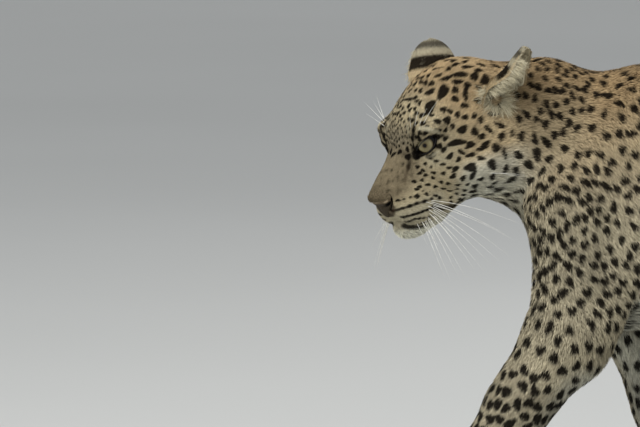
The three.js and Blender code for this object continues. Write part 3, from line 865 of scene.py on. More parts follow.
# Spots: how far apart they are in each region and their radius (mm), each laid over those before it
rosette = share["trunk"] * smooth_step(20, 110, points[:, 0])
rosette += sum(share[n] for n in names if n.startswith("thigh")) * smooth_step(330, 420, points[:, 2])
rosette *= smooth_step(330, 380, points[:, 2])
under_neck = share["neck"] * smooth_step(0.25, -0.2, normals[:, 2])
SPOT_REGIONS = [
    (share["trunk"], 36, 7.0),
    (rosette, 47, 6.5),
    (share["trunk"] * smooth_step(-0.3, -0.8, normals[:, 2]), 36, 9),
    (share["neck"], 9.2, 4.5),
    (share["neck"] * smooth_step(430, 380, points[:, 2]), 11.0, 5.3),
    (sum(share[n] for n in names if n.startswith("shoulder")), 10.3, 5.3),
    (share["trunk"] * smooth_step(60, -40, points[:, 0]), 10.6, 5.4),
    (sum(share[n] for n in names if n.startswith("forearm")), 11.2, 5.9),
    (sum(share[n] for n in names if n.startswith("shank")), 22, 6.2),
    (paws_share, 13, 3.2),
    (share["tail"], 30, 7),
    (on_head_share, 8.2, 3.4),
    (on_head_share * smooth_step(60, 80, above) * smooth_step(95, 115, behind), 8.2, 3.9),  # crown
    (on_head_share * smooth_step(112, 98, behind) * smooth_step(34, 46, above), 5.9, 2.8),  # forehead
    (
        on_head_share * smooth_step(76, 68, behind) * smooth_step(34, 42, above) * smooth_step(27, 20, aside),
        4.0,
        1.5,
    ),  # between the eyes
    (on_head_share * smooth_step(96, 84, behind) * smooth_step(24, 12, above), 6.4, 2.0),  # under the eye
    (on_head_share * smooth_step(-18, -30, above) * smooth_step(96, 112, behind), 14.0, 6.8),  # jaw's angle
    (under_neck * smooth_step(330, 400, points[:, 2]), 14.5, 6.6),
]
spacing, spot_radius = np.full(len(points), 30.0), np.full(len(points), 6.5)
for weight, apart, radius in SPOT_REGIONS:
    spacing = spacing + (apart - spacing) * weight
    spot_radius = spot_radius + (radius - spot_radius) * weight
# No loose spots on the nose's bridge and the lip
bare = on_head_share * smooth_step(62, 52, behind) * smooth_step(34, 27, above)
bare = bare + on_head_share * smooth_step(-10, -22, above) * smooth_step(88, 74, behind)
bare = np.clip(bare, 0, 1)

corners = points[skin_tris]
areas = np.linalg.norm(np.cross(corners[:, 1] - corners[:, 0], corners[:, 2] - corners[:, 0]), axis=1) / 2


def scatter(count, density, draw):
    """Places spread over the skin by density: for each, its three vertices and their shares."""
    weight = areas * density[skin_tris].mean(1)
    total = np.cumsum(weight)
    at = (np.arange(count) + draw.random(count)) / count * total[-1]
    tri = np.minimum(np.searchsorted(total, at), len(skin_tris) - 1)
    u, v = draw.random((2, count))
    over = u + v > 1
    u, v = np.where(over, 1 - u, u), np.where(over, 1 - v, v)
    return skin_tris[tri], np.column_stack([1 - u - v, u, v])


def carried(values, who, parts):
    """The values at scattered places, from those at their three vertices."""
    return (values[who] * parts[:, :, None]).sum(1)


# Spots lie along the coat, but stand upright on the neck.
spot_way = unit(flow * (1 - share["neck"])[:, None] + np.array([0.12, 0, -1.3]) * share["neck"][:, None])
spot_way = unit(spot_way - (spot_way * normals).sum(1)[:, None] * normals)

# The larger spots of the head: how far behind, above and left of the nose's tip, half length, half width and
# turn in degrees
HEAD_SPOTS = [
    (166, 93, 29, 6.9, 2.5, -30),
    (138, 101, 5, 6.2, 1.8, 10),
    (148, 92, 33, 9.3, 3.6, -35),
    (161, 84, 42, 7.1, 3.5, 20),
    (168, 75, 48, 8.8, 4.1, 30),
    (132, 94, 26, 6.0, 2.7, -10),
    (138, 86, 38, 5.6, 2.9, -35),
    (118, 84, 34, 11.0, 4.3, 40),
    (146, 80, 46, 4.2, 3.4, -35),
    (130, 82, 41, 4.4, 3.7, -25),
    (108, 87, 23, 6.6, 3.0, 25),
    (136, 73, 49, 7.4, 3.1, 55),
    (123, 73, 46, 4.7, 2.9, -30),
    (92, 85, 1, 8.0, 2.4, 5),
    (96, 74, 33, 8.2, 5.1, 45),
    (104, 68, 43, 3.7, 2.8, 30),
    (109, 63, 48, 3.3, 2.5, -35),
    (83, 69, 30, 3.9, 2.6, 35),
    (151, 41, 68, 6.3, 2.4, -30),
    (131, 48, 60, 3.2, 3.0, -20),
    (120, 52, 56, 3.5, 3.0, -10),
    (101, 55, 50, 4.6, 4.0, -20),
    (89, 60, 46, 4.8, 2.8, -40),
    (134, 40, 64, 3.9, 3.2, 30),
    (75, 63, 38, 4.0, 3.0, 30),
    (151, 27, 74, 6.0, 2.4, -60),
    (112, 41, 57, 7.2, 3.3, 5),
    (136, 27, 68, 5.8, 2.4, -65),
    (122, 31, 61, 5.1, 3.8, 50),
    (159, 15, 81, 3.5, 2.4, 45),
    (149, 17, 78, 3.3, 2.4, 70),
    (144, 18, 76, 4.7, 2.6, 65),
    (129, 23, 65, 3.7, 3.5, 80),
    (100, 28, 56, 10.0, 3.5, -15),
    (125, 12, 66, 9.0, 3.2, 10),
    (113, 19, 60, 7.1, 3.0, 0),
    (134, 7, 76, 5.4, 3.9, 40),
    (82, 27, 52, 3.4, 2.8, 45),
    (139, -2, 81, 5.4, 2.8, 75),
    (108, 9, 62, 5.8, 2.6, -5),
    (85, 18, 56, 5.5, 2.3, 15),
    (122, -9, 77, 5.3, 4.6, 20),
    (99, 0, 67, 8.4, 3.7, -10),
    (83, 4, 61, 5.1, 2.1, 10),
    (147, -28, 83, 5.1, 3.8, -55),
    (135, -22, 79, 4.7, 3.2, 50),
    (97, -12, 69, 5.6, 2.5, 20),
    (120, -22, 74, 4.3, 3.1, 25),
    (78, -4, 60, 3.7, 2.4, 0),
    (86, -10, 64, 4.0, 2.2, 20),
    (138, -38, 76, 6.9, 3.1, -15),
    (121, -33, 69, 4.0, 2.2, 5),
    (117, -36, 65, 3.6, 2.3, -45),
    (144, -59, 71, 7.3, 3.3, -5),
    (39, -13, 34, 3.2, 2.0, -10),
    (149, -71, 48, 7.4, 3.2, -5),
]
# Rows of small spots under the eye and over the cheek: places along each row, and how many spots
CHEEK_ROWS = [
    ([(70, 19, 47), (75, 11, 55), (84, 3, 62)], 4),
    ([(58, 11, 33), (70, 2, 53), (86, -10, 64)], 5),
    ([(51, 8, 29), (63, -2, 40), (72, -11, 52), (91, -21, 62)], 7),
    ([(46, 3, 29), (58, -11, 38), (75, -22, 47)], 6),
    ([(44, -5, 32), (57, -19, 39), (66, -26, 40)], 4),
]


def on_path(path, at):
    """Places on a path, where at counts its given places from 0."""
    path = np.array(path, float)
    return np.column_stack([np.interp(at, np.arange(len(path)), path[:, k]) for k in range(3)])


def along_path(path, count):
    return on_path(path, np.linspace(0, len(path) - 1, count))


SPOT_JOG = 3.0
SPOT_DROPPED = 0.12
SPOT_RIM = 1.6


def fixed_spots():
    """The head's measured spots on both sides, those on the right a little different, with their sizes."""
    draw = np.random.default_rng(8)
    marks = list(HEAD_SPOTS)
    for path, count in CHEEK_ROWS:
        row = along_path(path, count)
        rise = math.degrees(math.atan2(row[-1][1] - row[0][1], row[-1][0] - row[0][0]))
        marks += [(*place, 2.9, 1.7, rise * 0.4) for place in row]
    found = []
    for side in (1, -1):
        for back, high, out, long, broad, turn in marks:
            if side < 0 and (out < 12 or draw.random() < SPOT_DROPPED):
                continue
            jog = draw.normal(0, 0.4 if side > 0 else SPOT_JOG, 3)
            place = on_head(back + jog[0], high + jog[1], side * (out + jog[2]))
            i = np.argmin(((points - place) ** 2).sum(1))
            normal = normals[i]
            level = np.cross(UP, normal)
            level = unit(level if level @ FORWARD < 0 else -level)
            rise = np.cross(normal, level)
            rise = rise if rise @ UP > 0 else -rise
            turn = math.radians(turn)
            along = level * math.cos(turn) + rise * math.sin(turn)
            swell = 1 if side > 0 else draw.uniform(0.85, 1.15)
            long, broad = 1.1 * long * swell, 1.2 * broad * swell
            found.append([*points[i], *normal, *along, long + broad + SPOT_RIM, long, broad])
    return np.array(found)


FIXED = fixed_spots()
SPOT_TRIES = 110000
MOST_SPOTS = 12000
SPOT_CLOSENESS = 0.93


def spot_centres():
    """Places of the loose spots, drawn one by one and kept where they are far enough from those before."""
    draw = np.random.default_rng(5)
    who, parts = scatter(SPOT_TRIES, 1 / spacing**2, draw)
    table = np.column_stack([points, normals, spot_way, spacing, spot_radius, rosette, bare])
    traits = carried(table, who, parts)
    traits = traits[draw.permutation(len(traits))]
    kept = np.zeros((MOST_SPOTS, traits.shape[1]))
    count = len(FIXED)
    kept[:count, :10] = FIXED[:, :10]
    for t in traits:
        if t[12] > draw.random() or count == len(kept):
            continue
        gap = kept[:count, :3] - t[:3]
        # Spots may stand closer end to end along the coat than side by side.
        apart = 1.25 * (gap**2).sum(1) - 0.75 * (gap @ unit(t[6:9])) ** 2
        if (apart < (0.5 * (kept[:count, 9] + t[9]) * SPOT_CLOSENESS) ** 2).any():
            continue
        kept[count] = t
        count += 1
    return kept[len(FIXED) : count]


# The two kinds of blot: a dark spot, and the browner middle of a rosette
SPOT, MIDDLE = 1, 2


def blots():
    """Each blot: centre, normal, lie, half length, half width, two numbers that vary its edge, and its kind."""
    draw = np.random.default_rng(6)
    found = [[*t[:9], t[10], t[11], *draw.random(2), SPOT] for t in FIXED]
    for t in spot_centres():
        centre, normal, lie, apart, radius = t[:3], t[3:6], unit(t[6:9]), t[9], t[10]
        across = np.cross(normal, lie)
        if t[11] > 0.5:
            pieces = draw.integers(3, 6)
            start = draw.uniform(0, 2 * math.pi)
            ring = apart * draw.uniform(0.27, 0.33)
            for k in range(pieces):
                turn = start + 2 * math.pi * (k + draw.uniform(-0.18, 0.18)) / pieces
                out = lie * math.cos(turn) * 1.12 + across * math.sin(turn) * 0.95
                along = unit(-lie * math.sin(turn) + across * math.cos(turn))
                longer = 2 * math.pi * ring / pieces * draw.uniform(0.36, 0.47)
                broad = radius * draw.uniform(0.6, 0.85)
                found.append([*(centre + out * ring), *normal, *along, longer, broad, *draw.random(2), SPOT])
            found.append([*centre, *normal, *lie, ring * 0.9, ring * 0.8, *draw.random(2), MIDDLE])
            continue
        longer = radius * draw.uniform(0.92, 1.3) * 1.05
        broad = radius * draw.uniform(0.72, 0.96)
        turn = draw.normal(0, 0.4)
        along = lie * math.cos(turn) + across * math.sin(turn)
        found.append([*centre, *normal, *along, longer, broad, *draw.random(2), SPOT])
    return np.array(found)


BLOTS = blots()
CELL = 14.0
CELLS_ACROSS = 4096


def cell_key(i, j, k):
    return (i * CELLS_ACROSS + j) * CELLS_ACROSS + k


class Grid:
    """Finds the places of a set that are near a point."""

    def __init__(self, places):
        self.low = places.min(0) - CELL
        cells = ((places - self.low) / CELL).astype(np.int64)
        key = cell_key(*cells.T)
        self.order = np.argsort(key, kind="stable")
        found, start = np.unique(key[self.order], return_index=True)
        self.span = dict(zip(found.tolist(), zip(start.tolist(), [*start[1:].tolist(), len(key)])))

    def near(self, point, reach_mm):
        low = ((point - reach_mm - self.low) / CELL).astype(int)
        high = ((point + reach_mm - self.low) / CELL).astype(int)
        found = []
        for i in range(low[0], high[0] + 1):
            for j in range(low[1], high[1] + 1):
                for k in range(low[2], high[2] + 1):
                    span = self.span.get(cell_key(i, j, k))
                    if span:
                        found.append(self.order[span[0] : span[1]])
        return np.concatenate(found) if found else np.zeros(0, np.int64)


def spotted(places, soft=0.16):
    """How black the coat is at each place, and how much of a rosette's browner middle it has."""
    dark = np.zeros(len(places))
    middle = np.zeros(len(places))
    grid = Grid(places)
    for blot in BLOTS:
        centre, normal, along = blot[:3], blot[3:6], blot[6:9]
        long, broad, wobble_a, wobble_b, kind = blot[9:]
        who = grid.near(centre, max(long, broad) * 1.35)
        if not len(who):
            continue
        d = places[who] - centre
        across = np.cross(normal, along)
        u, v, w = d @ along / long, d @ across / broad, d @ normal
        turn = np.arctan2(v, u)
        edge = 1 + 0.13 * np.sin(2 * turn + 6.3 * wobble_a) + 0.12 * np.sin(3 * turn + 6.3 * wobble_b)
        mask = np.clip((edge + soft / 2 - np.hypot(u, v)) / soft, 0, 1) * (np.abs(w) < 12)
        kept = middle if kind == MIDDLE else dark
        kept[who] = np.maximum(kept[who], mask)
    return dark, middle


# Lines and rows on the face, in head axes on one side: places along each, half width, darkness and shade
FACE_LINES = [
    ([(71, 67, 16), (62, 53, 22), (57, 41, 18)], 2.2, 0.5, CREAM),  # pale stripe by the nose's root
    ([(69, 60, 37), (76, 55, 46), (85, 47, 50)], 2.4, 0.85, CREAM),  # pale brow
    ([(60, 25, 30), (68, 24, 42), (78, 28, 49)], 2.6, 0.9, CREAM),  # pale line under the eye
    (
        [(79, 71, 21), (73, 65, 26), (65, 57, 31), (61, 47, 28), (59, 38, 25)],
        2.3,
        0.92,
        BLACK,
    ),  # down to the eye's inner corner
    ([(60, 38, 25), (56, 31, 23), (52, 25, 23), (48, 20, 23)], 3.3, 0.95, BLACK),  # tear line
    ([(48, 20, 23), (41, 13, 23), (36, 6, 25)], 2.6, 0.5, DARK_BROWN),  # its end along the nose
    ([(88, 42, 47), (94, 42, 51)], 2.2, 0.9, BLACK),  # outer corner
    ([(94, 42, 51), (102, 40, 55)], 1.2, 0.85, BLACK),  # streak behind it
    ([(76, 50, 44), (84, 45, 48)], 1.5, 0.8, BLACK),  # over the upper lid
    # The mouth's corner: black lip skin, widened with painted shade in the corner's fold
    ([(55, -31, 39), (62, -37, 39), (72, -41, 40), (81, -46, 38)], 4.4, 0.9, BLACK),  # mouth's corner
    ([(185, 40, 78), (184, 28, 84), (183, 18, 89), (181, 7, 92)], 2.6, 0.92, BLACK),  # behind the ear
]

# Rows of dark dots that the whiskers grow from: places along each, how many dots, their radius, and how dark
# the line is that joins them
WHISKER_ROWS = [
    ([(22, -10, 25), (28, -10, 28), (38, -11, 33), (49, -10, 36)], 5, 1.5, 0.0),
    ([(15, -20, 17), (21, -19, 26), (35, -19, 35), (54, -22, 39)], 7, 2.3, 0.8),
    ([(18, -30, 16), (24, -29, 30), (36, -30, 35), (50, -31, 39)], 8, 1.9, 0.9),
    ([(22, -37, 20), (28, -35, 31), (38, -38, 35), (50, -41, 37)], 7, 1.8, 0.6),
    ([(26, -43, 20), (34, -44, 29), (47, -45, 34)], 6, 1.5, 0.3),
]


def face_marks(places, tone):
    """The tone with the head's lines, whisker rows, dark rims of the eyes and lips, and ear marks over it."""
    q = in_head(places)
    near = np.nonzero((q[:, 0] < 190) & (np.abs(q[:, 2]) < 100) & (q[:, 1] > -80) & (q[:, 1] < 110))[0]
    if not len(near):
        return tone
    f = folded(q[near])
    t = tone[near]
    for line, half, much, shade in FACE_LINES:
        away, _ = from_line(f, np.array(line, float))
        t = blend_colours(t, shade, much * smooth_step(half * 1.5, half * 0.6, away))
    for path, count, radius, joined in WHISKER_ROWS:
        away = np.full(len(f), np.inf)
        for dot in along_path(path, count):
            from_dot = np.hypot((f[:, 0] - dot[0]) * 0.7, f[:, 1] - dot[1]) + 0.2 * np.abs(f[:, 2] - dot[2])
            away = np.minimum(away, from_dot)
        t = blend_colours(t, BLACK, 0.95 * smooth_step(radius * 1.3, radius * 0.7, away))
        if joined:
            away, _ = from_line(f, np.array(path, float))
            t = blend_colours(t, BLACK, joined * smooth_step(radius, radius * 0.4, away))
    inside, ahead = in_lids(f)
    r = f - EYE
    x, y = r @ LID_LINE, r @ LID_UP
    thick = 1.4 + 2.4 * smooth_step(-4, -15, x) + 0.9 * smooth_step(-2, 6, y)
    rim = smooth_step(-thick - 0.8, -thick + 0.6, inside) * (ahead > 3)
    corner = smooth_step(6.2, 4.4, np.hypot(x + 17, y + 7)) * (ahead > -4)
    t = blend_colours(t, BLACK, 0.96 * np.maximum(rim, corner))
    under_nose = smooth_step(1.8, 0.2, egg(NOSE_MIDDLE, (16, 15, 17))(f)) * (f[:, 1] < -2)
    t = blend_colours(t, DARK_BROWN, 0.85 * under_nose)
    lip, _ = from_line(f, LIP_CURVE)
    t = blend_colours(t, BLACK, 0.93 * smooth_step(5.4, 3.8, lip))
    tone = tone.copy()
    tone[near] = t
    return tone


def tail_rings(places, tone, whose):
    """The tone with the tail's dark rings and dark tip over it."""
    away, t = from_line(places, TAIL_LINE)
    whose = whose * (away < 50)
    ring = smooth_step(0.1, 0.45, np.sin(t * 62 + 0.8 * waves(places, 60, 9))) * smooth_step(0.42, 0.6, t)
    ring = np.maximum(ring, smooth_step(0.955, 0.975, t))
    return blend_colours(tone, BLACK, ring * whose)


def painted(places, tone, tail_part):
    """The coat's tone at each place with all her markings over it."""
    dark, middle = spotted(places)
    tone = blend_colours(tone, tone * np.array([0.72, 0.62, 0.52]), 0.6 * middle)
    keep = 1 - tail_part * smooth_step(0.45, 0.6, from_line(places, TAIL_LINE)[1])
    tone = blend_colours(tone, BLACK, 0.97 * dark * keep)
    tone = tail_rings(places, tone, tail_part)
    return face_marks(places, tone)


def set_colours(mesh, rgb):
    layer = mesh.color_attributes.new("coat", "FLOAT_COLOR", "POINT")
    data = np.ones((len(rgb), 4), np.float32)
    data[:, :3] = np.clip(rgb, 0, 1)
    layer.data.foreach_set("color", data.ravel())


skin_tone = painted(points, base, share["tail"])
pads = smooth_step(7, 3, points[:, 2])
skin_tone = blend_colours(skin_tone, PAD_BROWN, pads)
set_colours(skin.data, skin_tone)

# Finishes


def material(name, roughness, specular=0.5):
    m = bpy.data.materials.new(name)
    m.use_nodes = True
    tree = m.node_tree
    shader = tree.nodes["Principled BSDF"]
    shader.inputs["Roughness"].default_value = roughness
    shader.inputs["Specular IOR Level"].default_value = specular
    return m, tree, shader


def node(tree, kind, **values):
    n = tree.nodes.new(kind)
    for key, value in values.items():
        setattr(n, key, value)
    return n


def object_place(tree):
    return node(tree, "ShaderNodeTexCoord").outputs["Object"]


def noise(tree, vector, scale, detail=3.0, roughness=0.5):
    n = node(tree, "ShaderNodeTexNoise")
    n.inputs["Scale"].default_value = scale
    n.inputs["Detail"].default_value = detail
    n.inputs["Roughness"].default_value = roughness
    tree.links.new(vector, n.inputs["Vector"])
    return n.outputs["Fac"]


def cells(tree, scale):
    n = node(tree, "ShaderNodeTexVoronoi")
    n.inputs["Scale"].default_value = scale
    tree.links.new(object_place(tree), n.inputs["Vector"])
    return n.outputs["Distance"]


def ramp(tree, factor_socket, stops):
    """A run of colours through the stops, each a position and a colour."""
    n = node(tree, "ShaderNodeValToRGB")
    elements = n.color_ramp.elements
    for element, (position, shade) in zip(elements, (stops[0], stops[-1])):
        element.position = position
        element.color = (*shade, 1)
    for position, shade in stops[1:-1]:
        elements.new(position).color = (*shade, 1)
    tree.links.new(factor_socket, n.inputs["Fac"])
    return n.outputs["Color"]


def scaled(tree, colour_socket, factor_socket, low, high):
    """The colour made darker or lighter as a factor runs from 0 to 1."""
    span = node(tree, "ShaderNodeMapRange")
    span.inputs["To Min"].default_value = low
    span.inputs["To Max"].default_value = high
    tree.links.new(factor_socket, span.inputs["Value"])
    mixed = node(tree, "ShaderNodeVectorMath", operation="SCALE")
    tree.links.new(colour_socket, mixed.inputs[0])
    tree.links.new(span.outputs["Result"], mixed.inputs["Scale"])
    return mixed.outputs["Vector"]


def bumped(tree, shader, height_socket, strength, distance):
    bump = node(tree, "ShaderNodeBump")
    bump.inputs["Strength"].default_value = strength
    bump.inputs["Distance"].default_value = distance
    tree.links.new(height_socket, bump.inputs["Height"])
    tree.links.new(bump.outputs["Normal"], shader.inputs["Normal"])


def coat_material(name, roughness, contrast):
    m, tree, shader = material(name, roughness, 0.04)
    paint = node(tree, "ShaderNodeAttribute", attribute_name="coat")
    grain = noise(tree, object_place(tree), 900, 2.0)
    broad = noise(tree, object_place(tree), 30, 2.0)
    shaded = scaled(tree, paint.outputs["Color"], grain, 1 - contrast, 1 + contrast)
    shaded = scaled(tree, shaded, broad, 0.86, 1.14)
    tree.links.new(shaded, shader.inputs["Base Color"])
    bumped(tree, shader, grain, 0.35, BUMP_HEIGHT)
    return m


def nose_material():
    m, tree, shader = material("nose leather", 0.6, 0.16)
    paint = node(tree, "ShaderNodeAttribute", attribute_name="coat")
    grain = cells(tree, 1100)
    shaded = scaled(tree, paint.outputs["Color"], grain, 0.72, 1.25)
    shaded = scaled(tree, shaded, noise(tree, object_place(tree), 260, 3.0), 0.7, 1.3)
    tree.links.new(shaded, shader.inputs["Base Color"])
    bumped(tree, shader, grain, 0.5, BUMP_HEIGHT)
    return m


def leather_material(name, dark, light, roughness, scale, bump):
    m, tree, shader = material(name, roughness, 0.25)
    grain = cells(tree, scale)
    tone = ramp(tree, noise(tree, object_place(tree), 120, 3.0), [(0.3, dark), (0.7, light)])
    tree.links.new(scaled(tree, tone, grain, 0.75, 1.2), shader.inputs["Base Color"])
    bumped(tree, shader, grain, bump, BUMP_HEIGHT)
    return m


BUMP_HEIGHT = 0.0006
COAT = coat_material("coat", 0.72, 0.22)
UNDERCOAT = coat_material("undercoat", 0.85, 0.3)
NOSE_LEATHER = nose_material()
LID_LEATHER = leather_material("lid leather", colour(8, 6, 5), colour(22, 17, 14), 0.55, 1400, 0.3)
CLAW_HORN = leather_material("claw horn", colour(60, 50, 40), colour(150, 136, 112), 0.3, 500, 0.1)
WHISKER_HAIR = leather_material("whisker", colour(205, 202, 190), colour(240, 238, 228), 0.4, 300, 0.05)

skin.data.materials.clear()
skin.data.materials.append(UNDERCOAT)
belongs(skin, FLESH)

# The coat: tuft length, tuft width and how far the tip stands off the skin in mm, with None where that last one
# stays as it was. Each is for a share of her, and laid over those before it.
face_front = smooth_step(64, 40, behind) * smooth_step(-14, -4, above)
COAT_SIZES = [
    (share["neck"], 8.5, 1.05, None),
    (upper_share, 10.5, 1.35, None),
    (leg_share, 8.5, 1.3, 3.0),
    (share["trunk"] * smooth_step(-0.3, -0.9, normals[:, 2]), 20, 1.8, 7.5),
    (share["neck"] * smooth_step(-0.2, -0.8, normals[:, 2]), 16, 1.3, 6.5),
    (share["tail"], 14, 1.6, 4.5),
    (paws_share * smooth_step(60, 30, points[:, 2]), 5.5, 1.1, 1.8),
    (on_head_share, 6.5, 0.85, 2.4),
    (on_head_share * smooth_step(120, 80, behind), 4.6, 0.72, 1.6),
    (on_head_share * face_front, 3.0, 0.66, 0.9),
    (on_head_share * smooth_step(-44, -54, above), 8.0, 0.9, 3.2),  # chin
    (on_head_share * smooth_step(-20, -38, above) * smooth_step(90, 120, behind), 13, 1.1, 5.0),  # throat
]
length, width = np.full(len(points), 13.0), np.full(len(points), 1.7)
lift = coat_depth(points)
for weight, long, wide, high in COAT_SIZES:
    length = length + (long - length) * weight
    width = width + (wide - width) * weight
    if high is not None:
        lift = lift + (high - lift) * weight
lift = np.minimum(lift, coat_depth(points) + 1.6)

# No coat between the lids, between the lips, under the nose pad and on the soles
head_left = folded(head_q)
inside_lids, lids_ahead = in_lids(head_left)
no_coat = (inside_lids > -0.9) & (lids_ahead > 3)
no_coat |= from_line(head_left, LIP_CURVE)[0] < 1.6
no_coat |= egg(NOSE_MIDDLE, (12, 12, 12))(head_left) < 0
hairy = np.where(no_coat & (on_head_share > 0.4), 0.0, 1.0) * (1 - smooth_step(6, 2.5, points[:, 2]))


def coat_regions():
    """The pieces of the coat, each with its share of the skin's points."""
    found = {
        "coat_face": on_head_share * (behind < 100),
        "coat_head_left": on_head_share * (behind >= 100) * (leftward >= 0),
        "coat_head_right": on_head_share * (behind >= 100) * (leftward < 0),
    }
    limbs = {}
    for side in ("left", "right"):
        limbs["coat_foreleg_" + side] = sum(share[k + side] for k in ("shoulder_", "forearm_", "forepaw_"))
        limbs["coat_hindleg_" + side] = sum(share[k + side] for k in ("thigh_", "shank_", "hindpaw_"))
    for part in ("tail", "neck", "trunk"):
        limbs["coat_" + part] = share[part]
    strongest = np.argmax(np.array(list(limbs.values())), axis=0)
    for i, name in enumerate(limbs):
        own = (1 - on_head_share) * (strongest == i)
        if name == "coat_trunk":
            found["coat_trunk_left"] = own * (points[:, 1] < 0)
            found["coat_trunk_right"] = own * (points[:, 1] >= 0)
        else:
            found[name] = own
    return found


region_of = coat_regions()
COVER = 3.6  # layers of tufts over the skin
MOST_TUFTS = 99000
LEG_BANDS = 20


def unwrap(name, p):
    """Each region's own unwrap of the skin: along it and round it, between 0 and 1."""
    if name in ("coat_face", "coat_head_left", "coat_head_right"):
        d = unit(in_head(p) - np.array([100, 5, 0]))
        turn = np.arctan2(d[:, 2], d[:, 1])
        out = np.arccos(np.clip(-d[:, 0], -1, 1)) / math.pi
        return np.column_stack([0.5 + 0.48 * out * np.cos(turn), 0.5 + 0.48 * out * np.sin(turn)])
    if name == "coat_tail":
        _, t = from_line(p, TAIL_LINE)
        index = np.clip((t * TAIL_LINKS).astype(int), 0, TAIL_LINKS)
        around = np.arctan2(p[:, 1] - TAIL_LINE[index, 1], p[:, 2] - TAIL_LINE[index, 2])
        return np.column_stack([0.02 + 0.96 * t, 0.5 + 0.48 * around / math.pi])
    low, high = p.min(0), p.max(0)
    if "leg" in name:
        middle = (low + high) / 2
        along = (p[:, 2] - low[2]) / (high[2] - low[2])
        bands = np.clip((along * LEG_BANDS).astype(int), 0, LEG_BANDS)
        centres = [p[bands == b].mean(0) if (bands == b).any() else middle for b in range(LEG_BANDS + 1)]
        heights = (np.arange(LEG_BANDS + 1) + 0.5) / LEG_BANDS
        cx, cy = (np.interp(along, heights, np.array(centres)[:, k]) for k in (0, 1))
        around = np.arctan2(p[:, 1] - cy, p[:, 0] - cx)
        return np.column_stack([0.5 + 0.48 * around / math.pi, 0.02 + 0.96 * along])
    along = (p[:, 0] - low[0]) / (high[0] - low[0])
    around = np.arctan2(p[:, 1], p[:, 2] - TRUNK_MIDDLE)
    return np.column_stack([0.02 + 0.96 * along, 0.5 + 0.48 * around / math.pi])


# Each tuft bends back at a knee, this far along its length and this far up its height.
KNEE_ALONG = 0.42
KNEE_UP = 0.72
TIP_PAINTED = 0.88
TUFT_STRAY = 0.22
# Painted shade of the coat's depth: each tuft darkest at its root and lightest at its tip
TUFT_DEPTH_SHADE = np.array([0.62, 0.95, 0.95, 1.08])  # from root to tip
UV_PATCH = 0.0015


def tuft_mesh(name, root, out, lie, long, wide, high, tone, uv, draw, paint=None):
    """Tufts as one mesh: each a thin leaf of two faces that rises from its root and lies along the coat."""
    n = len(root)
    across = np.cross(out, lie)
    turn = draw.normal(0, TUFT_STRAY, n)[:, None]
    lie = unit(lie * np.cos(turn) + across * np.sin(turn))
    across = np.cross(out, lie)
    roll = draw.normal(0, 0.25, n)[:, None]
    rib = across * np.cos(roll) + out * np.sin(roll)
    long = (long * draw.uniform(0.7, 1.25, n))[:, None]
    wide = (wide * draw.uniform(0.75, 1.25, n))[:, None]
    high = (high * draw.uniform(0.55, 1.15, n))[:, None]
    foot = root - out * 0.4
    knee = root + lie * long * KNEE_ALONG + out * high * KNEE_UP
    tip = root + lie * long + out * high
    co = np.stack([foot, knee - rib * wide / 2, knee + rib * wide / 2, tip], axis=1).reshape(-1, 3)
    co[:, 2] = np.maximum(co[:, 2], 0.5)
    first = np.arange(n)[:, None] * 4
    faces = np.concatenate([first + [0, 1, 2], first + [1, 3, 2]], axis=1).reshape(-1)
    mesh = bpy.data.meshes.new(name)
    mesh.vertices.add(4 * n)
    mesh.vertices.foreach_set("co", metres(co).astype(np.float32).ravel())
    mesh.loops.add(6 * n)
    mesh.loops.foreach_set("vertex_index", faces.astype(np.int32))
    mesh.polygons.add(2 * n)
    mesh.polygons.foreach_set("loop_start", np.arange(0, 6 * n, 3, dtype=np.int32))
    mesh.update(calc_edges=True)
    mesh.polygons.foreach_set("use_smooth", np.ones(2 * n, bool))
    shade = draw.uniform(0.74, 1.2, n)[:, None, None]
    if paint:
        middle, end = paint(root + lie * long * KNEE_ALONG, root + lie * long * TIP_PAINTED)
        tones = np.stack([middle, middle, middle, end], axis=1) * shade
    else:
        tones = np.repeat(tone[:, None, :], 4, axis=1) * shade
    # painted depth shade along each tuft, from its dark root to its lighter tip
    tones = tones * TUFT_DEPTH_SHADE[None, :, None]
    set_colours(mesh, tones.reshape(-1, 3))
    corner = UV_PATCH * np.array([(0, -1), (-1, 0), (1, 0), (0, 1)])
    spots = (uv[:, None, :] + corner[None]).reshape(-1, 2)
    layer = mesh.uv_layers.new(name="OFBake")
    layer.data.foreach_set("uv", spots[faces].astype(np.float32).ravel())
    piece = new_object(name, mesh)
    mesh.materials.append(COAT)
    return piece


def grow_coat(name, seed):
    """The coat of one region, as tufts spread over its skin."""
    draw = np.random.default_rng(seed)
    density = region_of[name] * hairy / (0.5 * length * width)
    count = min(MOST_TUFTS, int((areas * density[skin_tris].mean(1)).sum() * COVER))
    who, parts = scatter(count, density, draw)
    table = np.column_stack([points, normals, flow, base, length, width, lift, share["tail"]])
    row = carried(table, who, parts)
    root, out, lie, tone = row[:, :3], unit(row[:, 3:6]), unit(row[:, 6:9]), row[:, 9:12]
    long, wide, high, tail_part = row[:, 12:].T

    def paint(middle, end):
        both = painted(np.vstack([middle, end]), np.tile(tone, (2, 1)), np.tile(tail_part, 2))
        return both[:count], both[count:]

    piece = tuft_mesh(name, root, out, lie, long, wide, high, None, unwrap(name, root), draw, paint)
    belongs(piece, ["head"])


for seed, name in enumerate(region_of):
    grow_coat(name, 100 + seed)

# The ears, in head axes on the left

EAR_BASE = np.array([166.0, 50, 51])
EAR_TIP = np.array([204.0, 106, 82])
EAR_OPEN = np.array([0.42, -0.32, 0.85])
EAR_HALF_WIDTH = 29.0
EAR_WAIST = 0.62
EAR_CUP = 21.0
EAR_SKIN = 2.6
EAR_ROWS, EAR_COLUMNS = 26, 24
EAR_LENGTH = float(np.linalg.norm(EAR_TIP - EAR_BASE))
EAR_UP = unit(EAR_TIP - EAR_BASE)
EAR_FACE = unit(EAR_OPEN - EAR_UP * (EAR_OPEN @ EAR_UP))
EAR_ACROSS = unit(np.cross(EAR_UP, EAR_FACE))
EAR_TWIST = math.radians(35)


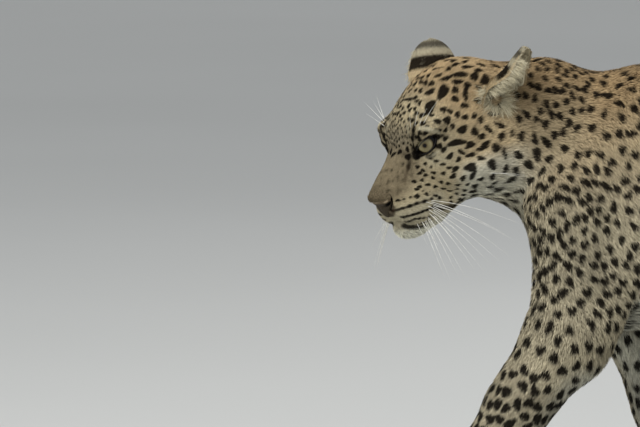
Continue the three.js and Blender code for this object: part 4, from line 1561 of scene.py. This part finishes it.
def ear_place(t, s, skin_mm):
    """A place on the ear's shell: t from base 0 to tip 1, and s round it from -1 to 1."""
    t, s = np.broadcast_arrays(np.asarray(t, float), np.asarray(s, float))
    taper = np.sqrt(np.maximum(0, 1 - np.maximum(0, t) ** 3.4))
    flare = EAR_WAIST + (1 - EAR_WAIST) * smooth_step(-0.2, 0.5, t)
    wide = np.maximum(EAR_SKIN + 1.5, EAR_HALF_WIDTH * flare * taper) - skin_mm
    deep = np.maximum(EAR_SKIN + 1, EAR_CUP * flare * (1 - 0.7 * np.maximum(0, t))) - skin_mm
    turn = s * math.pi / 2
    twist = EAR_TWIST * (1 - smooth_step(0.1, 0.65, t))
    out = -deep * np.cos(turn) + EAR_CUP * 0.6
    aside = wide * np.sin(turn)
    ahead = out * np.cos(twist) + aside * np.sin(twist)
    across = aside * np.cos(twist) - out * np.sin(twist)
    spine = EAR_BASE + (EAR_LENGTH * t)[..., None] * EAR_UP
    return spine + across[..., None] * EAR_ACROSS + ahead[..., None] * EAR_FACE


# Long pale hairs of the ear: places along a line of roots, the ways they point there, how many, and how long
EAR_HAIR = [
    (
        [(151, 70, 70), (156, 57, 60), (157, 49, 65), (163, 44, 68), (171, 43, 71)],
        [
            (-0.78, 0.55, -0.29),
            (-0.98, -0.06, -0.19),
            (-0.79, -0.6, 0.14),
            (-0.37, -0.8, 0.48),
            (0.14, -0.65, 0.75),
        ],
        620,
        15,
    ),  # fringe before and under the cup
    (
        [(152, 69, 69), (159, 77, 82), (171, 83, 92), (180, 90, 95), (188, 95, 96)],
        [
            (0.25, -0.66, 0.71),
            (0.34, -0.59, 0.74),
            (0.31, -0.61, 0.73),
            (0.23, -0.68, 0.7),
            (0.1, -0.76, 0.65),
        ],
        640,
        14,
    ),  # along the front rim
    (
        [(170, 58, 61), (172, 54, 64), (169, 49, 67), (164, 48, 67)],
        [(0.5, 0.5, 0.7), (0.68, 0.28, 0.68), (0.53, -0.29, 0.8), (0.07, -0.73, 0.68)],
        420,
        15,
    ),  # out of the canal
]


def ear_tone(t, s, inner):
    """The ear's tone: inside, with painted shade in its cup, between its hairs and in its canal, or on its back
    with its black band and pale bar.
    """
    tone = np.tile(TAN, (len(t), 1))
    if inner:
        tone = np.tile(0.5 * (TAN + CREAM), (len(t), 1))
        tone = blend_colours(tone, CREAM, 0.8 * smooth_step(0.2, 0.7, np.abs(s)))
        # Painted shade: darker in the cup, in streaks between the hairs, and darkest in the canal
        cup = smooth_step(0.75, 0.2, t) * smooth_step(0.95, 0.6, np.abs(s))
        tone = blend_colours(tone, DARK_BROWN, 0.5 * cup)
        gaps = smooth_step(0.1, 0.8, np.sin(64 * t + 2.3 * np.sin(17 * t) + 4 * np.abs(s)))
        tone = blend_colours(tone, DARK_BROWN, 0.5 * gaps * smooth_step(0.95, 0.8, t))
        canal = smooth_step(0.36, 0.08, t) * smooth_step(0.6, 0.1, np.abs(s))
        return blend_colours(tone, DARK_BROWN, 0.95 * canal)
    edge = smooth_step(1.0, 0.9, np.abs(s))
    black = smooth_step(0.74, 0.69, t) * smooth_step(0.42, 0.5, t) * edge
    tone = blend_colours(tone, BLACK, 0.97 * black)
    pale = smooth_step(0.68, 0.74, t) * smooth_step(0.95, 0.84, t) * edge
    tone = blend_colours(tone, CREAM * 0.7, 0.9 * pale)
    tone = blend_colours(tone, GREY * 0.3, 0.9 * smooth_step(0.80, 0.88, t) * edge)
    return blend_colours(tone, CREAM * 0.65, 0.85 * smooth_step(0.93, 0.99, t))


def ear_shell(side, label):
    """The ear's skin: a cupped leaf with a back and an inside, closed along its rim and its foot."""
    rows, columns = EAR_ROWS, EAR_COLUMNS
    t, s = np.meshgrid(np.linspace(-0.3, 1, rows + 1), np.linspace(-1, 1, columns + 1), indexing="ij")
    t, s = t.ravel(), s.ravel()
    back = ear_place(t, s, 0)
    inside = ear_place(np.minimum(t, 0.985), s * 0.985, EAR_SKIN)
    n = len(back)
    w = columns + 1
    faces = []
    for i in range(rows):
        for j in range(columns):
            a = i * w + j
            faces.append((a, a + w, a + w + 1, a + 1))
            faces.append((n + a, n + a + 1, n + a + w + 1, n + a + w))
        for a, b in ((i * w, (i + 1) * w), ((i + 1) * w + columns, i * w + columns)):
            faces.append((a, n + a, n + b, b))
    for j in range(columns):
        a = rows * w + j
        faces.append((a, n + a, n + a + 1, a + 1))
        faces.append((j, j + 1, n + j + 1, n + j))
    shell = closed_piece("ear_skin_" + label, placed(np.vstack([back, inside]), side), faces)
    set_colours(shell.data, np.vstack([ear_tone(t, s, False), ear_tone(t, s, True)]))
    shell.data.materials.append(UNDERCOAT)
    belongs(shell, ["ear_" + label])


def ear_coat(side, label):
    """The ear's hair: short on its back, inside and rim, and long in front of it and out of its canal."""
    draw = np.random.default_rng(40 + (side > 0))
    groups = []

    def tufts(count, t_range, s_range, inner, long, wide, high, lie_of, tone_of):
        t = draw.uniform(*t_range, count)
        s = draw.uniform(*s_range, count)
        skin_mm = EAR_SKIN if inner else 0.0
        p = ear_place(t, s, skin_mm)
        up = ear_place(t + 0.01, s, skin_mm) - p
        aside = ear_place(t, s + 0.01, skin_mm) - p
        out = unit(np.cross(up, aside))
        facing = ((p - 0.5 * (ear_place(t, -1, 0) + ear_place(t, 1, 0))) * out).sum(1)
        out = out * np.where(facing > 0, 1, -1)[:, None] * (-1 if inner else 1)
        lie = lie_of(t[:, None], np.sign(s)[:, None], unit(up), unit(aside))
        lie = unit(lie - (lie * out).sum(1)[:, None] * out)
        uv = np.column_stack([0.02 + 0.46 * (s + 1) / 2 + 0.5 * inner, 0.05 + 0.7 * (t + 0.3)])
        long = np.full(count, long) * draw.uniform(0.7, 1.2, count)
        sizes = long, np.full(count, wide), np.full(count, high)
        groups.append((placed(p, side), turned(out, side), turned(lie, side), *sizes, tone_of(t, s), uv))

    def to_tip(t, half, up, aside):
        return up

    def to_middle(t, half, up, aside):
        return up - aside * half * 0.2

    def over_cup(t, half, up, aside):
        return up * (0.8 - t) - aside * half * 0.7

    def to_rim(t, half, up, aside):
        return up + aside * half * 0.35

    def back_tone(t, s):
        return ear_tone(t + 0.04, s, False)

    def inner_tone(t, s):
        return ear_tone(t, s, True)

    def long_tone(t, s):
        return np.tile(CREAM * 1.08, (len(t), 1))

    def rim_tone(t, s):
        return blend_colours(np.tile(TAN, (len(t), 1)), CREAM * 0.8, smooth_step(0.5, 0.9, t))

    tufts(7500, (-0.1, 0.95), (-1, 1), False, 4.2, 0.7, 1.0, to_tip, back_tone)
    tufts(4500, (0.02, 0.97), (-0.96, 0.96), True, 5.5, 0.6, 1.2, to_middle, inner_tone)
    for s_range in ((0.45, 0.98), (-0.98, -0.45)):
        tufts(500, (-0.15, 0.7), s_range, True, 13, 0.5, 7.0, over_cup, long_tone)
    for rim in (-0.99, 0.99):
        tufts(1300, (-0.1, 0.9), (rim - 0.02, rim + 0.02), False, 4.2, 0.55, 0.8, to_rim, rim_tone)
    for path, ways, count, long in EAR_HAIR:
        at = draw.random(count) * (len(path) - 1)
        q = on_path(path, at) + draw.normal(0, 1.6, (count, 3))
        lie = turned(unit(on_path(ways, at) + draw.normal(0, 0.22, (count, 3))), side)
        out = unit(np.cross(lie, draw.normal(size=(count, 3))))
        uv = np.column_stack([0.02 + 0.9 * at / len(path), np.full(count, 0.97)])
        sizes = long * draw.uniform(0.6, 1.15, count), np.full(count, 0.5), np.full(count, 0.8)
        groups.append((placed(q, side), out, lie, *sizes, np.tile(CREAM * 1.1, (count, 1)), uv))
    piece = tuft_mesh("ear_coat_" + label, *(np.concatenate(parts) for parts in zip(*groups)), draw)
    belongs(piece, ["ear_" + label])


for side, label in ((1, "left"), (-1, "right")):
    ear_shell(side, label)
    ear_coat(side, label)

# The eyes, lids and nose. The iris runs from the pupil's middle to its dark rim and on under the lids.

IRIS = [
    (0.0, colour(4, 4, 4)),
    (0.13, colour(4, 4, 4)),
    (0.165, colour(72, 62, 42)),
    (0.28, colour(116, 107, 78)),
    (0.5, colour(138, 129, 98)),
    (0.6, colour(86, 76, 52)),
    (0.645, colour(12, 9, 7)),
    (1.0, colour(22, 18, 15)),
]
EYE_BULGE = 1.5
LID_RIM = 0.0007


def eye_material(side, label):
    """The eye: rings of colour round its gaze, streaked, with painted shade from the upper lid over its top."""
    m, tree, shader = material("eye " + label, 0.12, 0.08)
    gaze = Vector(turned(GAZE, side).tolist())
    line = Vector(turned(LID_LINE, side).tolist())
    mapping = node(tree, "ShaderNodeMapping", vector_type="TEXTURE")
    mapping.inputs["Location"].default_value = metres(placed(EYE, side))
    mapping.inputs["Rotation"].default_value = Matrix((line, gaze.cross(line), gaze)).transposed().to_euler()
    tree.links.new(object_place(tree), mapping.inputs["Vector"])
    flatten = node(tree, "ShaderNodeVectorMath", operation="MULTIPLY")
    flatten.inputs[1].default_value = (1, 1, 0)
    tree.links.new(mapping.outputs["Vector"], flatten.inputs[0])
    radius = node(tree, "ShaderNodeVectorMath", operation="LENGTH")
    spokes = node(tree, "ShaderNodeVectorMath", operation="NORMALIZE")
    for n in (radius, spokes):
        tree.links.new(flatten.outputs["Vector"], n.inputs[0])
    span = node(tree, "ShaderNodeMapRange")
    span.inputs["From Max"].default_value = EYE_RADIUS / MM_PER_METRE
    tree.links.new(radius.outputs["Value"], span.inputs["Value"])
    rings = ramp(tree, span.outputs["Result"], IRIS)
    shaded = scaled(tree, rings, noise(tree, spokes.outputs["Vector"], 14, 4.0, 0.7), 0.6, 1.35)
    # Painted shadow of the upper lid: the iris darker towards its top
    upward = side * float(np.sign(np.cross(GAZE, LID_LINE) @ LID_UP))
    split = node(tree, "ShaderNodeSeparateXYZ")
    tree.links.new(mapping.outputs["Vector"], split.inputs["Vector"])
    height = node(tree, "ShaderNodeMapRange")
    height.inputs["From Min"].default_value = upward * -0.0015
    height.inputs["From Max"].default_value = upward * 0.0055
    tree.links.new(split.outputs["Y"], height.inputs["Value"])
    shaded = scaled(tree, shaded, height.outputs["Result"], 1.08, 0.36)
    tree.links.new(shaded, shader.inputs["Base Color"])
    shader.inputs["Coat Weight"].default_value = 0.15
    shader.inputs["Coat Roughness"].default_value = 0.03
    return m


def eyeball(side, label):
    centre = placed(EYE, side)
    bpy.ops.object.select_all(action="DESELECT")
    bpy.ops.mesh.primitive_uv_sphere_add(
        segments=64, ring_count=32, radius=EYE_RADIUS / MM_PER_METRE, location=metres(centre).tolist()
    )
    ball = bpy.context.view_layer.objects.active
    ball.name = "eyeball_" + label
    bpy.ops.object.transform_apply(location=True, rotation=True, scale=True)
    p = vertices_of(ball.data)
    gaze = turned(GAZE, side)
    ahead = (p - centre) @ gaze / EYE_RADIUS
    put_vertices(ball.data, p + gaze * (EYE_BULGE * smooth_step(0.7, 1.0, ahead))[:, None])
    bpy.ops.object.shade_smooth()
    ball.data.materials.append(eye_material(side, label))
    belongs(ball, ["eye_" + label])


def lid_rim(side, label):
    """The dark wet rim between eyeball and lids."""
    ring = np.vstack([LID_TOP, LID_FOOT[::-1][1:-1]])
    from_middle = (ring**2).sum(1)
    rise = np.sqrt(np.maximum(0, (EYE_RADIUS + 0.9) ** 2 - from_middle))
    rise = np.where(from_middle > 13.5**2, np.maximum(rise, 6.5), rise)
    rim = metres(placed(EYE + ring[:, :1] * LID_LINE + ring[:, 1:] * LID_UP + rise[:, None] * GAZE, side))
    curve = bpy.data.curves.new("lid_rim_" + label, "CURVE")
    curve.dimensions = "3D"
    curve.bevel_depth = LID_RIM
    curve.bevel_resolution = 3
    line = curve.splines.new("POLY")
    line.points.add(len(rim) - 1)
    line.points.foreach_set("co", np.column_stack([rim, np.ones(len(rim))]).ravel())
    line.use_cyclic_u = True
    select_only(new_object("lid_rim_" + label, curve))
    bpy.ops.object.convert(target="MESH")
    lids = bpy.context.view_layer.objects.active
    bpy.ops.object.shade_smooth()
    lids.data.materials.append(LID_LEATHER)
    belongs(lids, ["head"])


for side, label in ((1, "left"), (-1, "right")):
    eyeball(side, label)
    lid_rim(side, label)

NOSTRIL = np.array([(5, -14, 7), (7.5, -13.5, 10.5), (11.5, -11, 13.5), (15, -8, 16.5)], float)
NOSE_RIM = np.array([(1, -5.5, 0), (2, -6, 6), (6, -8, 12), (11, -6, 15.5)], float)
NOSE_BROWN = colour(96, 82, 62)
NOSE_FOOT_BROWN = colour(58, 50, 37)
NOSE_RIM_TAN = colour(176, 158, 130)
# The pad's outline from the side, down its middle: how far above the nose's tip, and how far behind it
NOSE_PROFILE = [
    (-30, 14),
    (-26, 11.5),
    (-21, 9),
    (-11, 6.5),
    (-6, 3),
    (-3, 0.8),
    (0.4, 0.6),
    (4, 4),
    (8, 9),
    (10, 12),
]


def ball_grid(rows, columns):
    """A ball of radius 1 with its poles at the sides: its places ahead, up and out, and its faces."""
    theta, phi = np.meshgrid(
        np.linspace(0, math.pi, rows + 1), np.arange(columns) / columns * 2 * math.pi, indexing="ij"
    )
    grid = np.sin(theta) * np.cos(phi), np.sin(theta) * np.sin(phi), np.cos(theta)
    ahead, up, out = (np.append(a[1:-1].ravel(), poles) for a, poles in zip(grid, ([0, 0], [0, 0], [1, -1])))

    def at(i, j):
        return i * columns + j % columns

    faces = []
    for i in range(rows - 2):
        for j in range(columns):
            faces.append((at(i, j), at(i + 1, j), at(i + 1, j + 1), at(i, j + 1)))
    first, last = (rows - 1) * columns, (rows - 1) * columns + 1
    for j in range(columns):
        faces.append((first, at(0, j), at(0, j + 1)))
        faces.append((last, at(rows - 2, j + 1), at(rows - 2, j)))
    return ahead, up, out, faces


def nose():
    """The nose pad: broad above and narrow below, with a nostril each side and a groove down its middle."""
    ahead, up, out, faces = ball_grid(72, 96)
    low = np.maximum(0, -up)
    high = -8 + up * np.where(up > 0, 18, 22)
    profile = np.interp(high, *zip(*NOSE_PROFILE))
    level = np.clip(ahead / np.sqrt(np.maximum(1e-6, 1 - up**2)), -1, 1)
    depth = np.where(level > 0, np.abs(level) ** 1.3 * (15 - profile), 4 * level)
    q = np.column_stack([15 - depth, high, 16.0 * out * (1 - 0.74 * low**1.3)])
    front = smooth_step(0.0, 0.5, level)
    side = folded(q)
    away, t = from_line(side, NOSTRIL)
    radius = 3.6 - 1.8 * t
    hollow = front * smooth_step(radius * 1.2, radius * 0.3, away)
    groove = front * smooth_step(1.5, 0.3, side[:, 2]) * smooth_step(-6, -12, q[:, 1])
    q[:, 0] += 5.5 * hollow + 0.9 * groove
    q[:, 2] -= np.sign(q[:, 2]) * 1.2 * hollow
    pad = closed_piece("nose_pad", placed(q), faces)
    tone = np.tile(NOSE_BROWN, (len(q), 1))
    tone = blend_colours(tone, NOSE_FOOT_BROWN, smooth_step(-6, -10, q[:, 1]))
    rim, _ = from_line(side, NOSE_RIM)
    tone = blend_colours(tone, NOSE_RIM_TAN, 0.85 * front * smooth_step(2.2, 0.8, rim))
    # Painted shade in the nostril hollows and along the groove
    tone = blend_colours(tone, BLACK * 0.5, smooth_step(0.15, 0.6, hollow))
    tone = blend_colours(tone, DARK_BROWN, 0.8 * groove)
    set_colours(pad.data, tone)
    pad.data.materials.append(NOSE_LEATHER)
    belongs(pad, ["nose"])
    top = np.nonzero((level > -0.1) & (q[:, 1] > -4.6) & (side[:, 2] < 17))[0]
    nose_coat(pad, q, top)


def nose_coat(pad, q, top, count=5200):
    """Short hair that runs over the pad's top down to its rim."""
    draw = np.random.default_rng(51)
    out = np.empty(len(q) * 3)
    pad.data.vertices.foreach_get("normal", out)
    pick = draw.choice(top, count)
    out = (out.reshape(-1, 3) @ HEAD_AXES.T)[pick]
    root = q[pick] + draw.normal(0, 0.4, (count, 3))
    lie = np.column_stack([np.full(count, 0.75), np.full(count, 0.6), 0.03 * q[pick, 2]])
    lie = unit(lie - (lie * out).sum(1)[:, None] * out)
    tone = BRIDGE * (0.5 + 0.7 * draw.random((count, 1)))
    uv = np.clip(0.5 + 0.45 * np.column_stack([q[pick, 2] / 20, (q[pick, 1] + 4) / 12]), 0.02, 0.98)
    sizes = np.full(count, 2.6), np.full(count, 0.55), np.full(count, 0.55)
    hair = tuft_mesh("coat_nose", placed(root), turned(out), turned(lie), *sizes, tone, uv, draw)
    belongs(hair, ["nose"])


nose()

# Whiskers and claws


def hair_tubes(name, roots, ways, lengths, bend, thick, finish, sides=5, steps=10):
    """Thin tapering tubes as one piece, each from its root along its way and bent."""
    co, faces = [], []
    for root, way, long, droop in zip(roots, ways, lengths, bend):
        way = unit(way)
        helper = unit(np.cross(way, (0.1, 0.2, 1)))
        other = np.cross(way, helper)
        first = len(co)
        for i in range(steps + 1):
            t = i / steps
            p = root + way * long * t + np.asarray(droop) * long * t * t
            radius = thick * (1 - 0.92 * t)
            for k in range(sides):
                turn = 2 * math.pi * k / sides
                co.append(p + (helper * math.cos(turn) + other * math.sin(turn)) * radius)
        for i in range(steps):
            for k in range(sides):
                a, b = first + i * sides + k, first + i * sides + (k + 1) % sides
                faces.append((a, b, b + sides, a + sides))
        faces.append(tuple(first + k for k in reversed(range(sides))))
        faces.append(tuple(first + steps * sides + k for k in range(sides)))
    piece = closed_piece(name, np.array(co), faces)
    piece.data.materials.append(finish)
    belongs(piece, ["muzzle"])


def onto_skin(place):
    """The skin's place nearest to one in her frame."""
    return points[np.argmin(((points - place) ** 2).sum(1))]


WHISKER_THICK = 0.36
WHISKER_ROOTS = [(51, -22, 39), (52, -30, 39), (51, -37, 38), (46, -42, 35), (36, -43, 31)]


def whiskers():
    """Long ones out of the lip's rows, short ones among them, and a few over the eye and on the cheek."""
    draw = np.random.default_rng(21)
    roots, ways, lengths, bend = [], [], [], []

    def whisker(side, place, way, long, droop):
        way = unit(head_way(way[0], way[1], side * way[2]))
        ways.append(way)
        roots.append(onto_skin(on_head(place[0], place[1], side * place[2])) - way)
        lengths.append(long)
        bend.append(np.array([0.05, 0, -1.5 * droop]))

    for side in (1, -1):
        for k, place in enumerate(along_path(WHISKER_ROOTS, 12)):
            t = k / 11
            way = np.array([0.40 - 0.72 * t, -0.27 - 0.5 * t, 0.87 - 0.32 * t]) + draw.normal(0, 0.035, 3)
            place = place + draw.normal(0, 0.8, 3)
            whisker(side, place, way, (116 - 56 * t) * draw.uniform(0.85, 1.08), 0.12)
        for k, place in enumerate(along_path(WHISKER_ROOTS, 8)):
            t = k / 7
            way = np.array([0.30 - 0.6 * t, -0.32 - 0.45 * t, 0.9 - 0.3 * t]) + draw.normal(0, 0.08, 3)
            whisker(side, place - (6, 0, 2), way, draw.uniform(26, 52), 0.1)
        for k in range(4):
            way = (-0.3 + 0.22 * k, 0.75, 0.6)
            whisker(side, (66 + 4 * k, 60, 24 + 4 * k), way, draw.uniform(30, 46), 0.05)
        for k in range(3):
            whisker(side, (112 + 8 * k, -16 - 5 * k, 76), (0.7, -0.22, 0.45), draw.uniform(26, 40), 0.1)
    hair_tubes("whiskers", roots, ways, lengths, bend, WHISKER_THICK, WHISKER_HAIR)


whiskers()


def claws():
    roots, ways, lengths, bend = [], [], [], []
    for legs, size in ((FORELEGS, FORE_PAW), (HINDLEGS, HIND_PAW)):
        for toe in toe_centres(legs[0], size) + toe_centres(legs[1], size):
            roots.append(toe + (-21 * size, 0, 1))
            ways.append(np.array([-0.8, 0, -0.5]))
            lengths.append(8.5)
            bend.append(np.array([0.1, 0, -0.35]))
    hair_tubes("claws", roots, ways, lengths, bend, 1.9, CLAW_HORN, 8, 6)


claws()

# Floor, light and camera


FLOOR_HEIGHT = -0.0005


def studio():
    """A plain pale floor, pale light from all round, and three soft lamps aimed at her shoulder."""
    bpy.ops.object.select_all(action="DESELECT")
    bpy.ops.mesh.primitive_circle_add(vertices=64, radius=40, fill_type="NGON", location=(0, 0, FLOOR_HEIGHT))
    floor = bpy.context.view_layer.objects.active
    floor.name = "floor"
    bpy.ops.object.transform_apply(location=True, rotation=True, scale=True)
    m, tree, shader = material("floor", 0.9, 0.2)
    cloud = noise(tree, object_place(tree), 0.6, 2.0)
    tone = ramp(tree, cloud, [(0.0, colour(200, 200, 196)), (1.0, colour(208, 208, 204))])
    tree.links.new(tone, shader.inputs["Base Color"])
    floor.data.materials.append(m)
    floor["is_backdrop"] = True

    world = bpy.data.worlds.new("studio")
    world.use_nodes = True
    world.node_tree.nodes["Background"].inputs["Color"].default_value = (0.93, 0.96, 1.0, 1)
    world.node_tree.nodes["Background"].inputs["Strength"].default_value = 0.55
    bpy.context.scene.world = world

    target = Vector(metres((-250, -60, 420)).tolist())
    for name, place, width_m, power in (
        ("key", (-1.6, -1.8, 3.2), 2.6, 95),
        ("fill", (-3.4, -2.4, 1.2), 3.0, 28),
        ("back", (1.8, 2.8, 2.6), 2.5, 45),
    ):
        light = bpy.data.lights.new(name, "AREA")
        light.size = width_m
        light.energy = power
        lamp = bpy.data.objects.new(name, light)
        lamp.location = place
        lamp.rotation_euler = (target - Vector(place)).to_track_quat("-Z", "Y").to_euler()
        bpy.context.scene.collection.objects.link(lamp)


studio()

# The photograph's view: along +Y, 5 degrees down, with a long lens 8 m away
CAMERA_TARGET = metres((-369, -80, 431))
CAMERA_ELEVATION = math.radians(5)
CAMERA_DISTANCE = 8.0
LENS = 396.0

view = bpy.data.cameras.new("camera")
view.lens = LENS
view.sensor_width = 36
view.clip_end = 200
camera = bpy.data.objects.new("camera", view)
back_way = Vector((0, -math.cos(CAMERA_ELEVATION), math.sin(CAMERA_ELEVATION)))
camera.location = Vector(CAMERA_TARGET.tolist()) + back_way * CAMERA_DISTANCE
camera.rotation_euler = (-back_way).to_track_quat("-Z", "Y").to_euler()
bpy.context.scene.collection.objects.link(camera)
bpy.context.scene.camera = camera
bpy.context.scene.view_settings.view_transform = "Standard"

low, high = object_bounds()
